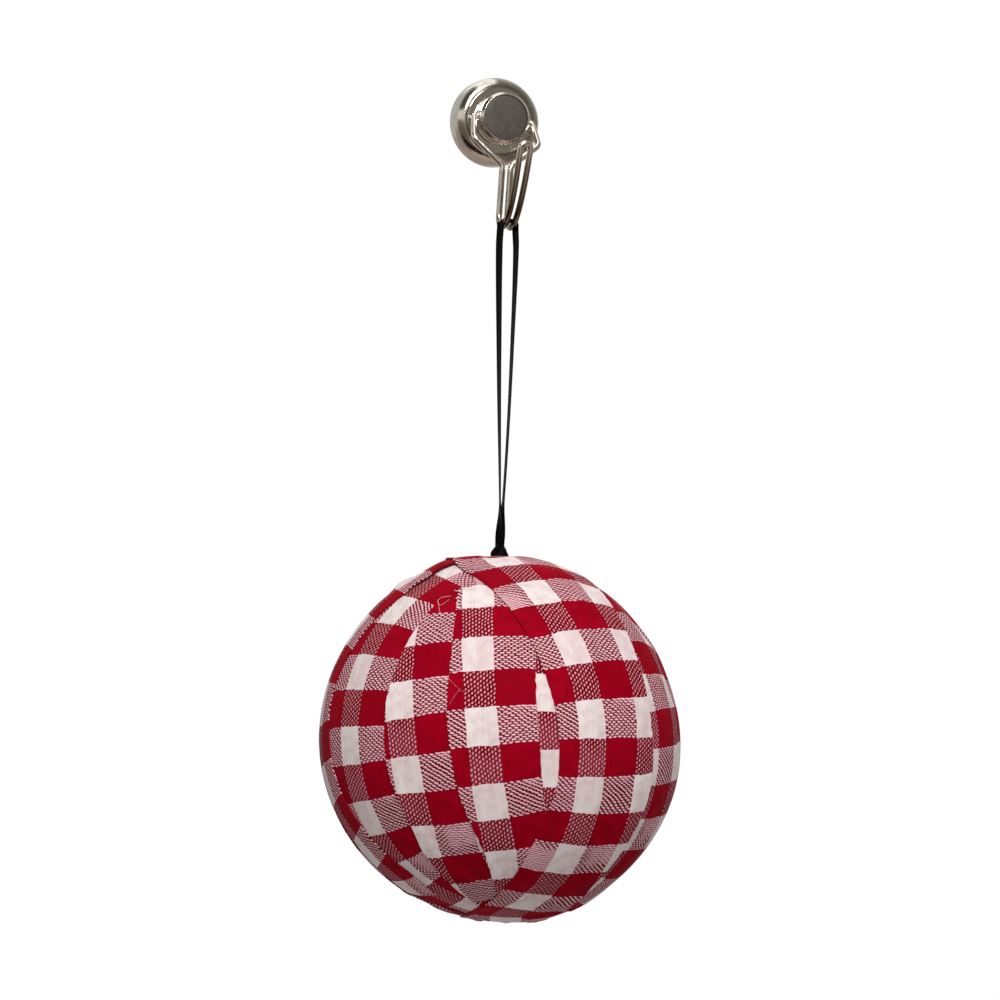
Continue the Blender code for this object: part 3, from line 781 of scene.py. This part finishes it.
CLOTH_DEEP_RED = (0.285, 0.0004, 0.009, 1)
# The dark red of the mixed cells is partly the red yarn low in the weave and partly painted shade in the gaps between
# threads.
CLOTH_RED_GAP_SHADE = (0.110, 0.0009, 0.007, 1)
CLOTH_FUZZ = (0.34, 0.05, 0.085, 1)

# The strips in the order in which they were glued on, the lowest first.
FRONT_LEFT_LOW = (1, 0, -5, [
    (-44, 57, -14, 15), (-59, 42.5, -17, 15.5), (-68.5, 22, -17, 16), (-73.5, 1, -17, 16),
    (-77, -22, -17, 16), (-80, -50, -17, 15.5), (-76, -71, -13, 13), (-62, -82, -10, 12),
])
FAR_LEFT = (12, 10.6, -11.5, [
    (-30, 62, -32, 0), (-61.5, 45.5, -32.5, 0), (-77.5, 27, -32.5, 0), (-87, 6, -32, 0),
    (-88.3, -22, -32, 0), (-83, -45, -33, 0), (-78.3, -57, -31, 0), (-81, -67.5, -16, 0),
])
FRONT_RIGHT = (6, 4.6, 13, [
    (0, 70, -8, 23.5), (12, 60, -9, 24), (29, 35, -10, 26.4), (35.2, 14, -10, 29.2), (42.6, -9, -9, 30),
    (48.8, -28.5, -8.6, 28.4), (60, -55, -8, 24), (66, -70, -8, 16),
])
FRONT_MIDDLE_LOW = (4, 0, 7, [
    (-8, 55, -14, 14), (-6, 7, -14, 14), (-3.5, -16, -14, 14), (-1, -30, -14, 14), (3, -65, -12, 12),
])
FRONT_LEFT = (2, 4.6, 5, [
    (-49, 37, 4.5, 13), (-47.7, 18, -3.2, 14), (-46.8, 0, -8.4, 14), (-46, -21, -10.2, 14),
    (-46.3, -40, -7, 14), (-48, -51, -5, 12), (-50, -70, -1, 11), (-44, -82, 0, 9),
])
FRONT_MIDDLE = (3, 0, -5, [
    (-29, 41, -5, 14), (-27, 18, -6.5, 14.8), (-25.3, -5, -8.8, 14.4), (-23.3, -28, -8, 14),
    (-18.5, -51.5, -4, 12), (-14.6, -71, -1.2, 4),
])
FRONT_TOP = (5, 0, 0, [
    (165, 72, -12, 21), (-160, 84, -12, 22), (-45, 80, -12, 22), (-20, 62, -12, 23), (-4, 38, -11, 23),
    (9, 0, -10, 20.7), (13.5, -26, -9.4, 22), (15.5, -38, -11, 20.5), (20.5, -68, -11, 15), (60, -86, -10, 14), (150, -76, -12, 10), (154, -63, -11, 9),
])
# Where a strip stands off the ones below: longitude and latitude, then height and reach in mm.
PUCKERS = {
    12: [(-80, 43, 0.25, 4), (-72, 45.5, 0.3, 4), (-64, 47, 0.35, 4), (-57.5, 50, 0.5, 5), (-51, 56, 0.5, 5),
         (-62, 63, 0.4, 7), (-84, 53, 0.9, 3)],
}
BACK_STRIPS = ((11, 218, 4.18, 7), (10, 184, 0.48, 2), (9, 151, 5.91, -3), (8, 117.5, 2.21, -8), (7, 84, 5.5, 7))
BACK_HALF_WIDTHS = ((74, 8), (45, 13), (15, 16.2), (-15, 16.2), (-45, 13), (-74, 8), (-79, 5))
back_lays = []
for number, longitude, column_at, white_from in BACK_STRIPS:
    line = [(longitude, latitude, -half, half) for latitude, half in BACK_HALF_WIDTHS]
    back_lays.append((number, column_at, white_from, line))
STRIP_LAYS = [FRONT_LEFT_LOW, FAR_LEFT, *back_lays, FRONT_RIGHT, FRONT_MIDDLE_LOW, FRONT_LEFT, FRONT_MIDDLE, FRONT_TOP]


def strip_guide(lay):
    """The guide line of a strip in even steps: places, headings, sidewise directions, edges and lengths."""
    _, _, white_from, points = lay
    rows = np.array([[*towards(lon, lat), left * MM, right * MM] for lon, lat, left, right in points])
    fine = smooth_through(rows, 40)
    fine[:, :3] /= np.linalg.norm(fine[:, :3], axis=1, keepdims=True)
    steps = np.linalg.norm(np.diff(fine[:, :3], axis=0), axis=1) * CLOTH_LOW
    run = np.concatenate([[0], np.cumsum(steps)])
    count = int(run[-1] / ROW_STEP)
    even = np.linspace(0, run[-1], count + 1)
    line = np.stack([np.interp(even, run, fine[:, axis]) for axis in range(5)], axis=1)
    place = line[:, :3] / np.linalg.norm(line[:, :3], axis=1, keepdims=True)
    ahead = np.gradient(place, axis=0)
    ahead -= place * np.sum(place * ahead, axis=1, keepdims=True)
    ahead /= np.linalg.norm(ahead, axis=1, keepdims=True)
    front = np.abs(place[:, 1] + 1) < 1.9
    crossing = np.argmin(np.where(front, np.abs(place[:, 2] - math.sin(math.radians(white_from))), 9))
    return {"place": place, "ahead": ahead, "beside": np.cross(place, ahead), "left": line[:, 3],
            "right": line[:, 4], "run": even, "white_from": even[crossing]}


def outside_of(guide, spots):
    """How far each spot lies outside the strip's cut edges, measured on the ball; less than 0 is inside."""
    nearest = np.argmax(spots @ guide["place"].T, axis=1)
    across = np.arcsin(np.clip(np.sum(spots * guide["beside"][nearest], axis=1), -1, 1)) * CLOTH_LOW
    along = np.arcsin(np.clip(np.sum(spots * guide["ahead"][nearest], axis=1), -1, 1)) * CLOTH_LOW
    beyond = np.where(nearest == 0, -along, np.where(nearest == len(guide["place"]) - 1, along, -1))
    sideways = np.maximum(guide["left"][nearest] - across, across - guide["right"][nearest])
    far_side = np.max(spots @ guide["place"].T, axis=1) < 0.5
    return np.where(far_side, 1.0, np.maximum(sideways, beyond))


def eased(values):
    share = np.clip(values, 0, 1)
    return share * share * (3 - 2 * share)


def stack_height(spots, guides):
    """How high the strips along these guides lie on each other at each spot."""
    height = np.zeros(len(spots))
    for lower in guides:
        height += (CLOTH_THICK + CLOTH_GAP) * (1 - eased(outside_of(lower, spots) / EDGE_RAMP))
    return height


def strip_mesh(guide, below, swells, column_phase, seed):
    """A thin closed sheet along the guide that rises over the strips below it, with the check's map."""
    rows = len(guide["run"])
    columns = int(np.max(guide["right"] - guide["left"]) / COLUMN_STEP)
    wander = np.random.default_rng(seed)
    left = guide["left"] + wander.normal(0, CUT_WANDER, rows)
    right = guide["right"] + wander.normal(0, CUT_WANDER, rows)
    share = np.linspace(0, 1, columns + 1)
    across = left[:, None] + (right - left)[:, None] * share[None, :]
    turn = (across / CLOTH_LOW)[..., None]
    spots = guide["place"][:, None, :] * np.cos(turn) + guide["beside"][:, None, :] * np.sin(turn)
    flat_spots = spots.reshape(-1, 3)
    height = stack_height(flat_spots, below) + swelling(flat_spots, swells)
    to_edge = np.minimum(across - left[:, None], right[:, None] - across).reshape(-1)
    height += EDGE_LIFT * (1 - eased(to_edge / EDGE_RAMP))
    waves = [noise.noise(Vector(spot * 9) + Vector((seed, 0, 0))) for spot in flat_spots]
    height += CLOTH_WAVE * np.abs(np.array(waves))
    bm = bmesh.new()
    weave = bm.loops.layers.uv.new("weave")
    layers = []
    for level in (CLOTH_LOW + height, CLOTH_LOW + height + CLOTH_THICK):
        verts = [bm.verts.new(on_ball(*(spot * reach))) for spot, reach in zip(flat_spots, level)]
        layers.append([verts[row * (columns + 1):(row + 1) * (columns + 1)] for row in range(rows)])
    check_u = across / MM + column_phase
    check_v = (guide["run"] - guide["white_from"]) / MM + CHECK_ROW

    def add_face(corners):
        face = bm.faces.new([layers[layer][row][column] for layer, row, column in corners])
        for loop, (_, row, column) in zip(face.loops, corners):
            loop[weave].uv = (check_u[row, column], check_v[row])

    for row in range(rows - 1):
        for column in range(columns):
            ring = ((row, column), (row + 1, column), (row + 1, column + 1), (row, column + 1))
            add_face([(1, *spot) for spot in ring])
            add_face([(0, *spot) for spot in reversed(ring)])
        for column in (0, columns):
            add_face([(0, row, column), (0, row + 1, column), (1, row + 1, column), (1, row, column)])
    for column in range(columns):
        for row in (0, rows - 1):
            add_face([(0, row, column), (0, row, column + 1), (1, row, column + 1), (1, row, column)])
    return bm


def gingham_weave_group():
    """Plain weave of two yarn colours in a check: solid red, solid white and the two mixed cells."""
    tree, given, result = new_group(
        "gingham_weave",
        [("Weave", "NodeSocketVector")],
        [("White", "NodeSocketFloat"), ("Red", "NodeSocketFloat"), ("Height", "NodeSocketFloat"),
         ("Cloudy", "NodeSocketFloat"), ("Dotted", "NodeSocketFloat"), ("Dashed", "NodeSocketFloat"),
         ("Gaps", "NodeSocketFloat"), ("Fuzz", "NodeSocketFloat")],
    )
    drift = tree.nodes.new("ShaderNodeTexNoise")
    drift.inputs["Scale"].default_value = 0.055
    tree.links.new(given["Weave"], drift.inputs["Vector"])
    drift_parts = tree.nodes.new("ShaderNodeSeparateColor")
    tree.links.new(drift.outputs["Color"], drift_parts.inputs[0])
    barred = node(tree, "MapRange", drift_parts.outputs[1], 0.57, 0.66, 0.0, 1.0)
    slope = node(tree, "MapRange", drift_parts.outputs[0], 0.40, 0.62, -0.8, 0.35)
    slow = tree.nodes.new("ShaderNodeTexNoise")
    slow.inputs["Scale"].default_value = 0.3
    tree.links.new(given["Weave"], slow.inputs["Vector"])
    quick = tree.nodes.new("ShaderNodeTexNoise")
    quick.inputs["Scale"].default_value = 1.5
    tree.links.new(given["Weave"], quick.inputs["Vector"])
    sway = node(tree, "VectorMath", slow.outputs["Color"], (0.5, 0.5, 0.5), operation="SUBTRACT")
    sway = node(tree, "VectorMath", sway, (0.9, 0.9, 0.0), operation="MULTIPLY")
    shake = node(tree, "VectorMath", quick.outputs["Color"], (0.5, 0.5, 0.5), operation="SUBTRACT")
    shake = node(tree, "VectorMath", shake, (0.35, 0.3, 0.0), operation="MULTIPLY")
    moved = node(tree, "VectorMath", given["Weave"], sway, operation="ADD")
    moved = node(tree, "VectorMath", moved, shake, operation="ADD")
    parts = tree.nodes.new("ShaderNodeSeparateXYZ")
    tree.links.new(moved, parts.inputs[0])
    across, along = parts.outputs[0], parts.outputs[1]

    def about_middle(value):
        return calc(tree, "SUBTRACT", calc(tree, "FRACT", value), 0.5)

    def float_mask(thread_at, cross_at, half_thread, half_float):
        """One where the thread floats on top, from its place across itself and along its float."""
        a = calc(tree, "POWER", calc(tree, "ABSOLUTE", calc(tree, "DIVIDE", thread_at, half_thread)), 2.0)
        b = calc(tree, "POWER", calc(tree, "ABSOLUTE", calc(tree, "DIVIDE", cross_at, half_float)), 2.0)
        return node(tree, "MapRange", calc(tree, "ADD", a, b), 1.25, 0.75, 0.0, 1.0)

    def every_other(index):
        return calc(tree, "MULTIPLY", calc(tree, "FLOORED_MODULO", index, 2.0), 0.5)

    warp_count = calc(tree, "DIVIDE", across, WARP_PITCH)
    weft_count = calc(tree, "DIVIDE", along, WEFT_PITCH)
    warp_index = calc(tree, "FLOOR", warp_count)
    weft_index = calc(tree, "FLOOR", weft_count)
    down_float = about_middle(calc(tree, "ADD", calc(tree, "MULTIPLY_ADD", weft_count, 0.5, 0.25),
                                   every_other(warp_index)))
    cross_float = about_middle(calc(tree, "ADD", calc(tree, "MULTIPLY_ADD", warp_count, 0.5, 0.75),
                                    every_other(weft_index)))
    leaning = calc(tree, "MULTIPLY_ADD", down_float, 0.3, about_middle(warp_count))
    warp_float = float_mask(leaning, down_float, 0.27, 0.30)
    dash_slope = calc(tree, "MULTIPLY", slope, calc(tree, "SUBTRACT", 1.0, barred))
    slanted = calc(tree, "MULTIPLY_ADD", cross_float, dash_slope, about_middle(weft_count))
    weft_float = float_mask(slanted, cross_float, 0.38, calc(tree, "MULTIPLY_ADD", barred, 0.35, 0.36))

    column_period = WHITE_COLUMN + RED_COLUMN
    warp_middle = calc(tree, "MULTIPLY", calc(tree, "ADD", warp_index, 0.5), WARP_PITCH)
    column_at = about_middle(calc(tree, "MULTIPLY_ADD", warp_middle, 1 / column_period, 0.5))
    white_warp = calc(tree, "LESS_THAN", calc(tree, "ABSOLUTE", column_at), WHITE_COLUMN / column_period / 2)
    weft_middle = calc(tree, "MULTIPLY", calc(tree, "ADD", weft_index, 0.5), WEFT_PITCH)
    row_at = about_middle(calc(tree, "MULTIPLY_ADD", weft_middle, 1 / (2 * CHECK_ROW), 0.75))
    white_weft = calc(tree, "LESS_THAN", calc(tree, "ABSOLUTE", row_at), 0.25)
    red_warp = calc(tree, "SUBTRACT", 1.0, white_warp)
    red_weft = calc(tree, "SUBTRACT", 1.0, white_weft)

    solid_white = calc(tree, "MULTIPLY", white_warp, white_weft)
    solid_red = calc(tree, "MULTIPLY", red_warp, red_weft)
    dotted = calc(tree, "MULTIPLY", white_warp, red_weft)
    dashed = calc(tree, "MULTIPLY", red_warp, white_weft)
    white = calc(tree, "MULTIPLY_ADD", dotted, warp_float, calc(tree, "MULTIPLY_ADD", dashed, weft_float, solid_white))
    # The part of a red thread not shown here takes the dark red, which is partly painted shade between the threads.
    red_weft_shown = calc(tree, "MULTIPLY", dotted, calc(tree, "MULTIPLY_ADD", weft_float, 0.35, 0.12))
    red_warp_shown = calc(tree, "MULTIPLY", dashed, calc(tree, "MULTIPLY_ADD", warp_float, 0.3, 0.02))
    red = calc(tree, "ADD", solid_red, calc(tree, "ADD", red_weft_shown, red_warp_shown))
    threads = calc(tree, "MAXIMUM", warp_float, weft_float)
    mixed = calc(tree, "ADD", dotted, dashed)
    relief = calc(tree, "MULTIPLY", threads, calc(tree, "MULTIPLY_ADD", mixed, 0.65, 0.35))
    tree.links.new(white, result["White"])
    tree.links.new(red, result["Red"])
    tree.links.new(relief, result["Height"])
    # Painted shade: in random patches of the white cells, the gaps beside the warp threads are darkened.
    gap_shade_patches = node(tree, "MapRange", slow.outputs["Fac"], 0.54, 0.70, 0.03, 0.75)
    beside_warp = node(tree, "MapRange", calc(tree, "ABSOLUTE", about_middle(warp_count)), 0.28, 0.5, 0.0, 1.0)
    tree.links.new(calc(tree, "MULTIPLY", solid_white, calc(tree, "MULTIPLY", gap_shade_patches, beside_warp)), result["Gaps"])
    fuzz = node(tree, "MapRange", drift_parts.outputs[2], 0.47, 0.62, 0.0, 0.4)
    tree.links.new(calc(tree, "MULTIPLY", mixed, fuzz), result["Fuzz"])
    tree.links.new(dotted, result["Dotted"])
    tree.links.new(dashed, result["Dashed"])
    drawn_out = node(tree, "Mapping", given["Weave"], None, None, (1.3, 0.1, 1.0))
    streak = node(tree, "TexNoise", drawn_out, None, 1.0, 2.0, 0.5)
    cloudy = calc(tree, "MULTIPLY_ADD", slow.outputs["Fac"], 0.42, calc(tree, "MULTIPLY", drift.outputs["Fac"], 0.42))
    cloudy = calc(tree, "MULTIPLY_ADD", streak, 0.16, cloudy)
    tree.links.new(node(tree, "MapRange", cloudy, 0.42, 0.58, 0.0, 1.0), result["Cloudy"])
    return tree


gingham_weave = gingham_weave_group()
gingham, tree, shader = new_material("cotton_gingham", Specular_IOR_Level=0.01)
cloth = use_group(tree, gingham_weave, node(tree, "UVMap", uv_map="weave"))
dye = mix_colour(tree, cloth["Cloudy"], CLOTH_DEEP_RED, CLOTH_RED)
# Dark red where no thread floats on top: partly the red yarn, partly painted shade in the gaps.
ground = mix_colour(tree, cloth["Red"], CLOTH_RED_GAP_SHADE, dye)
ground = mix_colour(tree, cloth["Fuzz"], ground, CLOTH_FUZZ)
chalk = mix_colour(tree, cloth["Cloudy"], CLOTH_WHITE, CLOTH_ROSE)
# Painted shade in the gaps of the white cells.
chalk = mix_colour(tree, cloth["Gaps"], chalk, CLOTH_SHADE)
chalk = mix_colour(tree, cloth["Dashed"], chalk, CLOTH_DASH)
chalk = mix_colour(tree, cloth["Dotted"], chalk, CLOTH_DOT)
tree.links.new(mix_colour(tree, cloth["White"], ground, chalk), shader.inputs["Base Color"])
tree.links.new(node(tree, "MapRange", cloth["White"], 0.0, 1.0, 0.55, 0.85), shader.inputs["Roughness"])
set_bump(tree, shader, cloth["Height"], 0.5, 0.00012)

guides_below = []
swells = list(BALL_LUMPS)
for lay in STRIP_LAYS:
    number, column_phase = lay[:2]
    guide = strip_guide(lay)
    swells += PUCKERS.get(number, [])
    bm = strip_mesh(guide, guides_below, swells, column_phase, number)
    strip = add_piece(f"gingham_strip_{number:02d}", bm, gingham, 50)
    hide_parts(f"cloth_strip_{number:02d}")
    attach(strip, "ball")
    strip.visible_glossy = False
    guides_below.append(guide)


# Loose threads: white cotton yarn that has come out of the cut edges, lying on the cloth near the strips' ends.
# Each is a short thin twist, with a curl at the front and a row of torn ends at the top and the bottom.
THREAD_SIDES = 6
HAIR_RADIUS = 0.018 * MM
CURL_RADIUS = 0.05 * MM
FRAY_RADIUS = 0.15 * MM
CURLS = [
    [(-39.4, 36.4), (-41.3, 36.3), (-43.1, 36.0), (-44.1, 34.7), (-43.3, 33.2), (-42.5, 32.4), (-41.1, 33.0),
     (-40.2, 34.0), (-39.4, 34.9)],
    [(-44.1, 34.7), (-42.7, 31.8), (-41.6, 29.0), (-41.1, 27.7)],
]
HAIRS = [
    [(-35.4, 4.6), (-33.9, 3.0), (-32.4, 1.6), (-31.8, 0.7), (-30.8, 0.5), (-30.3, 0.0), (-30.4, -0.6)],
    [(-31.7, 1.2), (-33.0, -0.3), (-34.2, -2.2), (-35.0, -3.5)],
]
FRAYS = [
    [(-38.5, 39.3), (-36.9, 38.3), (-35.5, 38.4)],
    [(-36.5, 34.4), (-35.3, 34.8), (-34.0, 34.4)],
    [(-36.2, 32.7), (-35.1, 33.2), (-33.9, 33.0)],
    [(-35.8, 31.4), (-34.7, 31.7), (-33.6, 31.5)],
    [(-35.4, 30.2), (-34.0, 30.3), (-32.9, 30.0)],
    [(-69.7, -74.8), (-67, -74.4), (-64.3, -74.0)],
    [(-67.6, -75.8), (-63.7, -75.2), (-59.8, -74.6)],
    [(-66.6, -77.1), (-60.2, -76.2), (-53.9, -75.0)],
    [(-60.1, -77.6), (-54, -76.6), (-48.0, -75.4)],
    [(-60.7, -79.7), (-56.2, -79.0), (-51.8, -78.1)],
    [(-47.6, -77.2), (-44.2, -76.5), (-40.9, -75.6)],
]
THREAD_LIFT = 0.08 * MM

loose_cotton, tree, shader = new_material("loose_cotton", Specular_IOR_Level=0.01, Roughness=0.85)
twist = node(tree, "TexNoise", object_place(tree), None, 3000.0, 2.0, 0.6)
tree.links.new(mix_colour(tree, twist, CLOTH_WHITE, CLOTH_ROSE), shader.inputs["Base Color"])
bm = bmesh.new()
for routes, radius in ((CURLS, CURL_RADIUS), (HAIRS, HAIR_RADIUS), (FRAYS, FRAY_RADIUS)):
    for route in routes:
        line = smooth_through(np.array([towards(lon, lat) for lon, lat in route]), 6)
        line /= np.linalg.norm(line, axis=1, keepdims=True)
        level = CLOTH_LOW + stack_height(line, guides_below) + swelling(line, swells) + radius + THREAD_LIFT
        add_tube(bm, [on_ball(*(spot * reach)) for spot, reach in zip(line, level)], radius, THREAD_SIDES, 0.6)
threads = add_piece("loose_threads", bm, loose_cotton, 80)
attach(threads, "ball")


# Studio: a plain pale floor well below the ball, one large soft lamp above and to the left of the view and a weak
# one behind. The open sky of the world fills the shade and shows white behind the object.
FLOOR_HEIGHT = -0.40
FLOOR_SIZE = 8.0
FLOOR_PALE = (0.82, 0.82, 0.81, 1)
FLOOR_SPOT = (0.79, 0.79, 0.78, 1)
LAMP_PLACE = Vector((-0.43, -1.42, 0.91))
LAMP_SIZE = 0.8
LAMP_WATTS = 25.0
BACK_LAMP_PLACE = Vector((0.7, 1.5, 0.7))
BACK_LAMP_WATTS = 15.0
SKY_FILL = 0.37
FLOOR_GLOW = 0.13

floor_pale, tree, shader = new_material("floor_pale", Roughness=0.8)
patches = node(tree, "TexNoise", object_place(tree), None, 6.0, 3.0, 0.6)
tree.links.new(mix_colour(tree, patches, FLOOR_PALE, FLOOR_SPOT), shader.inputs["Base Color"])
seen_floor = tree.nodes.new("ShaderNodeLightPath").outputs["Is Camera Ray"]
tree.links.new(calc(tree, "MULTIPLY", seen_floor, FLOOR_GLOW), shader.inputs["Emission Strength"])
shader.inputs["Emission Color"].default_value = (1, 1, 1, 1)
bm = bmesh.new()
bmesh.ops.create_grid(bm, x_segments=8, y_segments=8, size=FLOOR_SIZE / 2)
floor = add_piece("studio_floor", bm, floor_pale)
floor.location.z = FLOOR_HEIGHT
floor.visible_glossy = False
floor.visible_diffuse = False



def add_lamp(name, place, watts):
    lamp = bpy.data.lights.new(name, "AREA")
    lamp.size = LAMP_SIZE
    lamp.energy = watts
    lamp_object = bpy.data.objects.new(name, lamp)
    bpy.context.scene.collection.objects.link(lamp_object)
    lamp_object.location = place
    lamp_object.rotation_euler = (BALL_CENTRE - place).to_track_quat("-Z", "Y").to_euler()
    lamp_object.visible_camera = False
    return lamp_object


add_lamp("soft_lamp", LAMP_PLACE, LAMP_WATTS)
add_lamp("back_lamp", BACK_LAMP_PLACE, BACK_LAMP_WATTS).visible_glossy = False

world = bpy.data.worlds.new("studio_sky")
world.use_nodes = True
bpy.context.scene.world = world
tree = world.node_tree
tree.nodes.clear()
path_kind = tree.nodes.new("ShaderNodeLightPath")
seen = calc(tree, "MAXIMUM", path_kind.outputs["Is Camera Ray"],
            calc(tree, "MAXIMUM", path_kind.outputs["Is Glossy Ray"], path_kind.outputs["Is Transmission Ray"]))
sky = tree.nodes.new("ShaderNodeBackground")
sky.inputs["Color"].default_value = (1, 1, 1, 1)
tree.links.new(node(tree, "MapRange", seen, 0.0, 1.0, SKY_FILL, 1.0), sky.inputs["Strength"])
tree.links.new(sky.outputs[0], tree.nodes.new("ShaderNodeOutputWorld").inputs["Surface"])


# Room dome: a round screen about the object that the metal mirrors as it would a room, brown and dim in front and
# below, silver behind, with a pale band at the left and a window overhead. The camera doesn't see it.
DOME_RADIUS = 2.8
ROOM_FLOOR = (0.50, 0.38, 0.32, 1)
ROOM_LOW = (0.16, 0.125, 0.10, 1)
ROOM_MIDDLE = (0.22, 0.20, 0.17, 1)
ROOM_FRONT_HIGH = (0.175, 0.16, 0.135, 1)
ROOM_HIGH = (0.27, 0.255, 0.23, 1)
ROOM_DARK = (0.012, 0.010, 0.009, 1)
ROOM_DIM = (0.09, 0.082, 0.068, 1)
ROOM_FRONT_LOW = (0.48, 0.40, 0.35, 1)
ROOM_PALE = (0.75, 0.73, 0.67, 1)
ROOM_WINDOW = (1.3, 1.28, 1.24, 1)
ROOM_BACK_LOW = (0.38, 0.31, 0.275, 1)
ROOM_BACK = (0.54, 0.53, 0.49, 1)

room_dome = bpy.data.materials.new("room_dome")
room_dome.use_nodes = True
tree = room_dome.node_tree
tree.nodes.clear()
heading = node(tree, "VectorMath", object_place(tree), operation="NORMALIZE")
parts = tree.nodes.new("ShaderNodeSeparateXYZ")
tree.links.new(heading, parts.inputs[0])
to_side, to_back, to_top = parts.outputs


def fade(value, start, end):
    return node(tree, "MapRange", value, start, end, 0.0, 1.0, interpolation_type="SMOOTHSTEP")


def facing(side, back, top):
    """How nearly the mirrored ray runs in the given direction; 1 is straight along it."""
    along = tree.nodes.new("ShaderNodeVectorMath")
    along.operation = "DOT_PRODUCT"
    tree.links.new(heading, along.inputs[0])
    along.inputs[1].default_value = (side, back, top)
    return along.outputs["Value"]


def all_of(first, *others):
    for other in others:
        first = calc(tree, "MULTIPLY", first, other)
    return first


room = mix_colour(tree, fade(to_top, -0.30, -0.05), ROOM_LOW, ROOM_MIDDLE)
room = mix_colour(tree, fade(to_top, -0.78, -0.92), room, ROOM_FLOOR)
high = mix_colour(tree, fade(to_back, -0.5, -0.1), ROOM_FRONT_HIGH, ROOM_HIGH)
room = mix_colour(tree, fade(to_top, 0.22, 0.45), room, high)
room = mix_colour(tree, fade(facing(0, -0.92, -0.38), 0.91, 0.96), room, ROOM_FRONT_LOW)
room = mix_colour(tree, fade(facing(-0.77, -0.20, 0.60), 0.84, 0.95), room, ROOM_DIM)
off_streak = calc(tree, "ABSOLUTE", facing(-0.503, -0.641, 0.579))
dark_streak = all_of(fade(off_streak, 0.34, 0.16), fade(to_top, -0.36, -0.54), fade(to_side, 0.05, -0.15))
room = mix_colour(tree, dark_streak, room, ROOM_DARK)
pale_band = all_of(fade(to_side, -0.30, -0.50), fade(to_top, -0.02, 0.12), fade(to_top, 0.42, 0.28))
room = mix_colour(tree, pale_band, room, ROOM_PALE)
behind = mix_colour(tree, fade(to_top, -0.30, 0.0), ROOM_BACK_LOW, ROOM_BACK)
room = mix_colour(tree, fade(to_back, 0.1, 0.5), room, behind)
off_window = calc(tree, "ABSOLUTE", calc(tree, "ADD", to_side, 0.08))
room = mix_colour(tree, all_of(fade(off_window, 0.32, 0.18), fade(to_top, 0.45, 0.62)), room, ROOM_WINDOW)
glow = tree.nodes.new("ShaderNodeEmission")
tree.links.new(room, glow.inputs["Color"])
tree.links.new(glow.outputs[0], tree.nodes.new("ShaderNodeOutputMaterial").inputs["Surface"])
bm = bmesh.new()
bmesh.ops.create_uvsphere(bm, u_segments=48, v_segments=24, radius=DOME_RADIUS)
dome = add_piece("room_dome", bm, room_dome)
dome.visible_camera = False
dome.visible_diffuse = False
dome.visible_shadow = False
dome.visible_transmission = False


# Camera: a long lens from the front, a little left and below, rolled slightly as the picture was taken.
VIEW_AZIMUTH = math.radians(-18.5)
VIEW_ELEVATION = math.radians(-6.4)
VIEW_ROLL = math.radians(4.52)
VIEW_DISTANCE = 1.5
VIEW_TARGET = Vector((1.2 * MM, -30 * MM, -108.6 * MM))
LENS_MM = 198

camera = bpy.data.cameras.new("front_camera")
camera.lens = LENS_MM
camera.sensor_width = 36
camera.clip_end = 50
camera_object = bpy.data.objects.new("front_camera", camera)
bpy.context.scene.collection.objects.link(camera_object)
back = Vector((math.sin(VIEW_AZIMUTH) * math.cos(VIEW_ELEVATION), -math.cos(VIEW_AZIMUTH) * math.cos(VIEW_ELEVATION),
               math.sin(VIEW_ELEVATION)))
camera_object.location = VIEW_TARGET + back * VIEW_DISTANCE
camera_object.rotation_euler = back.to_track_quat("Z", "Y").to_euler()
camera_object.rotation_euler.rotate_axis("Z", VIEW_ROLL)
bpy.context.scene.camera = camera_object
bpy.context.scene.view_settings.view_transform = "Standard"
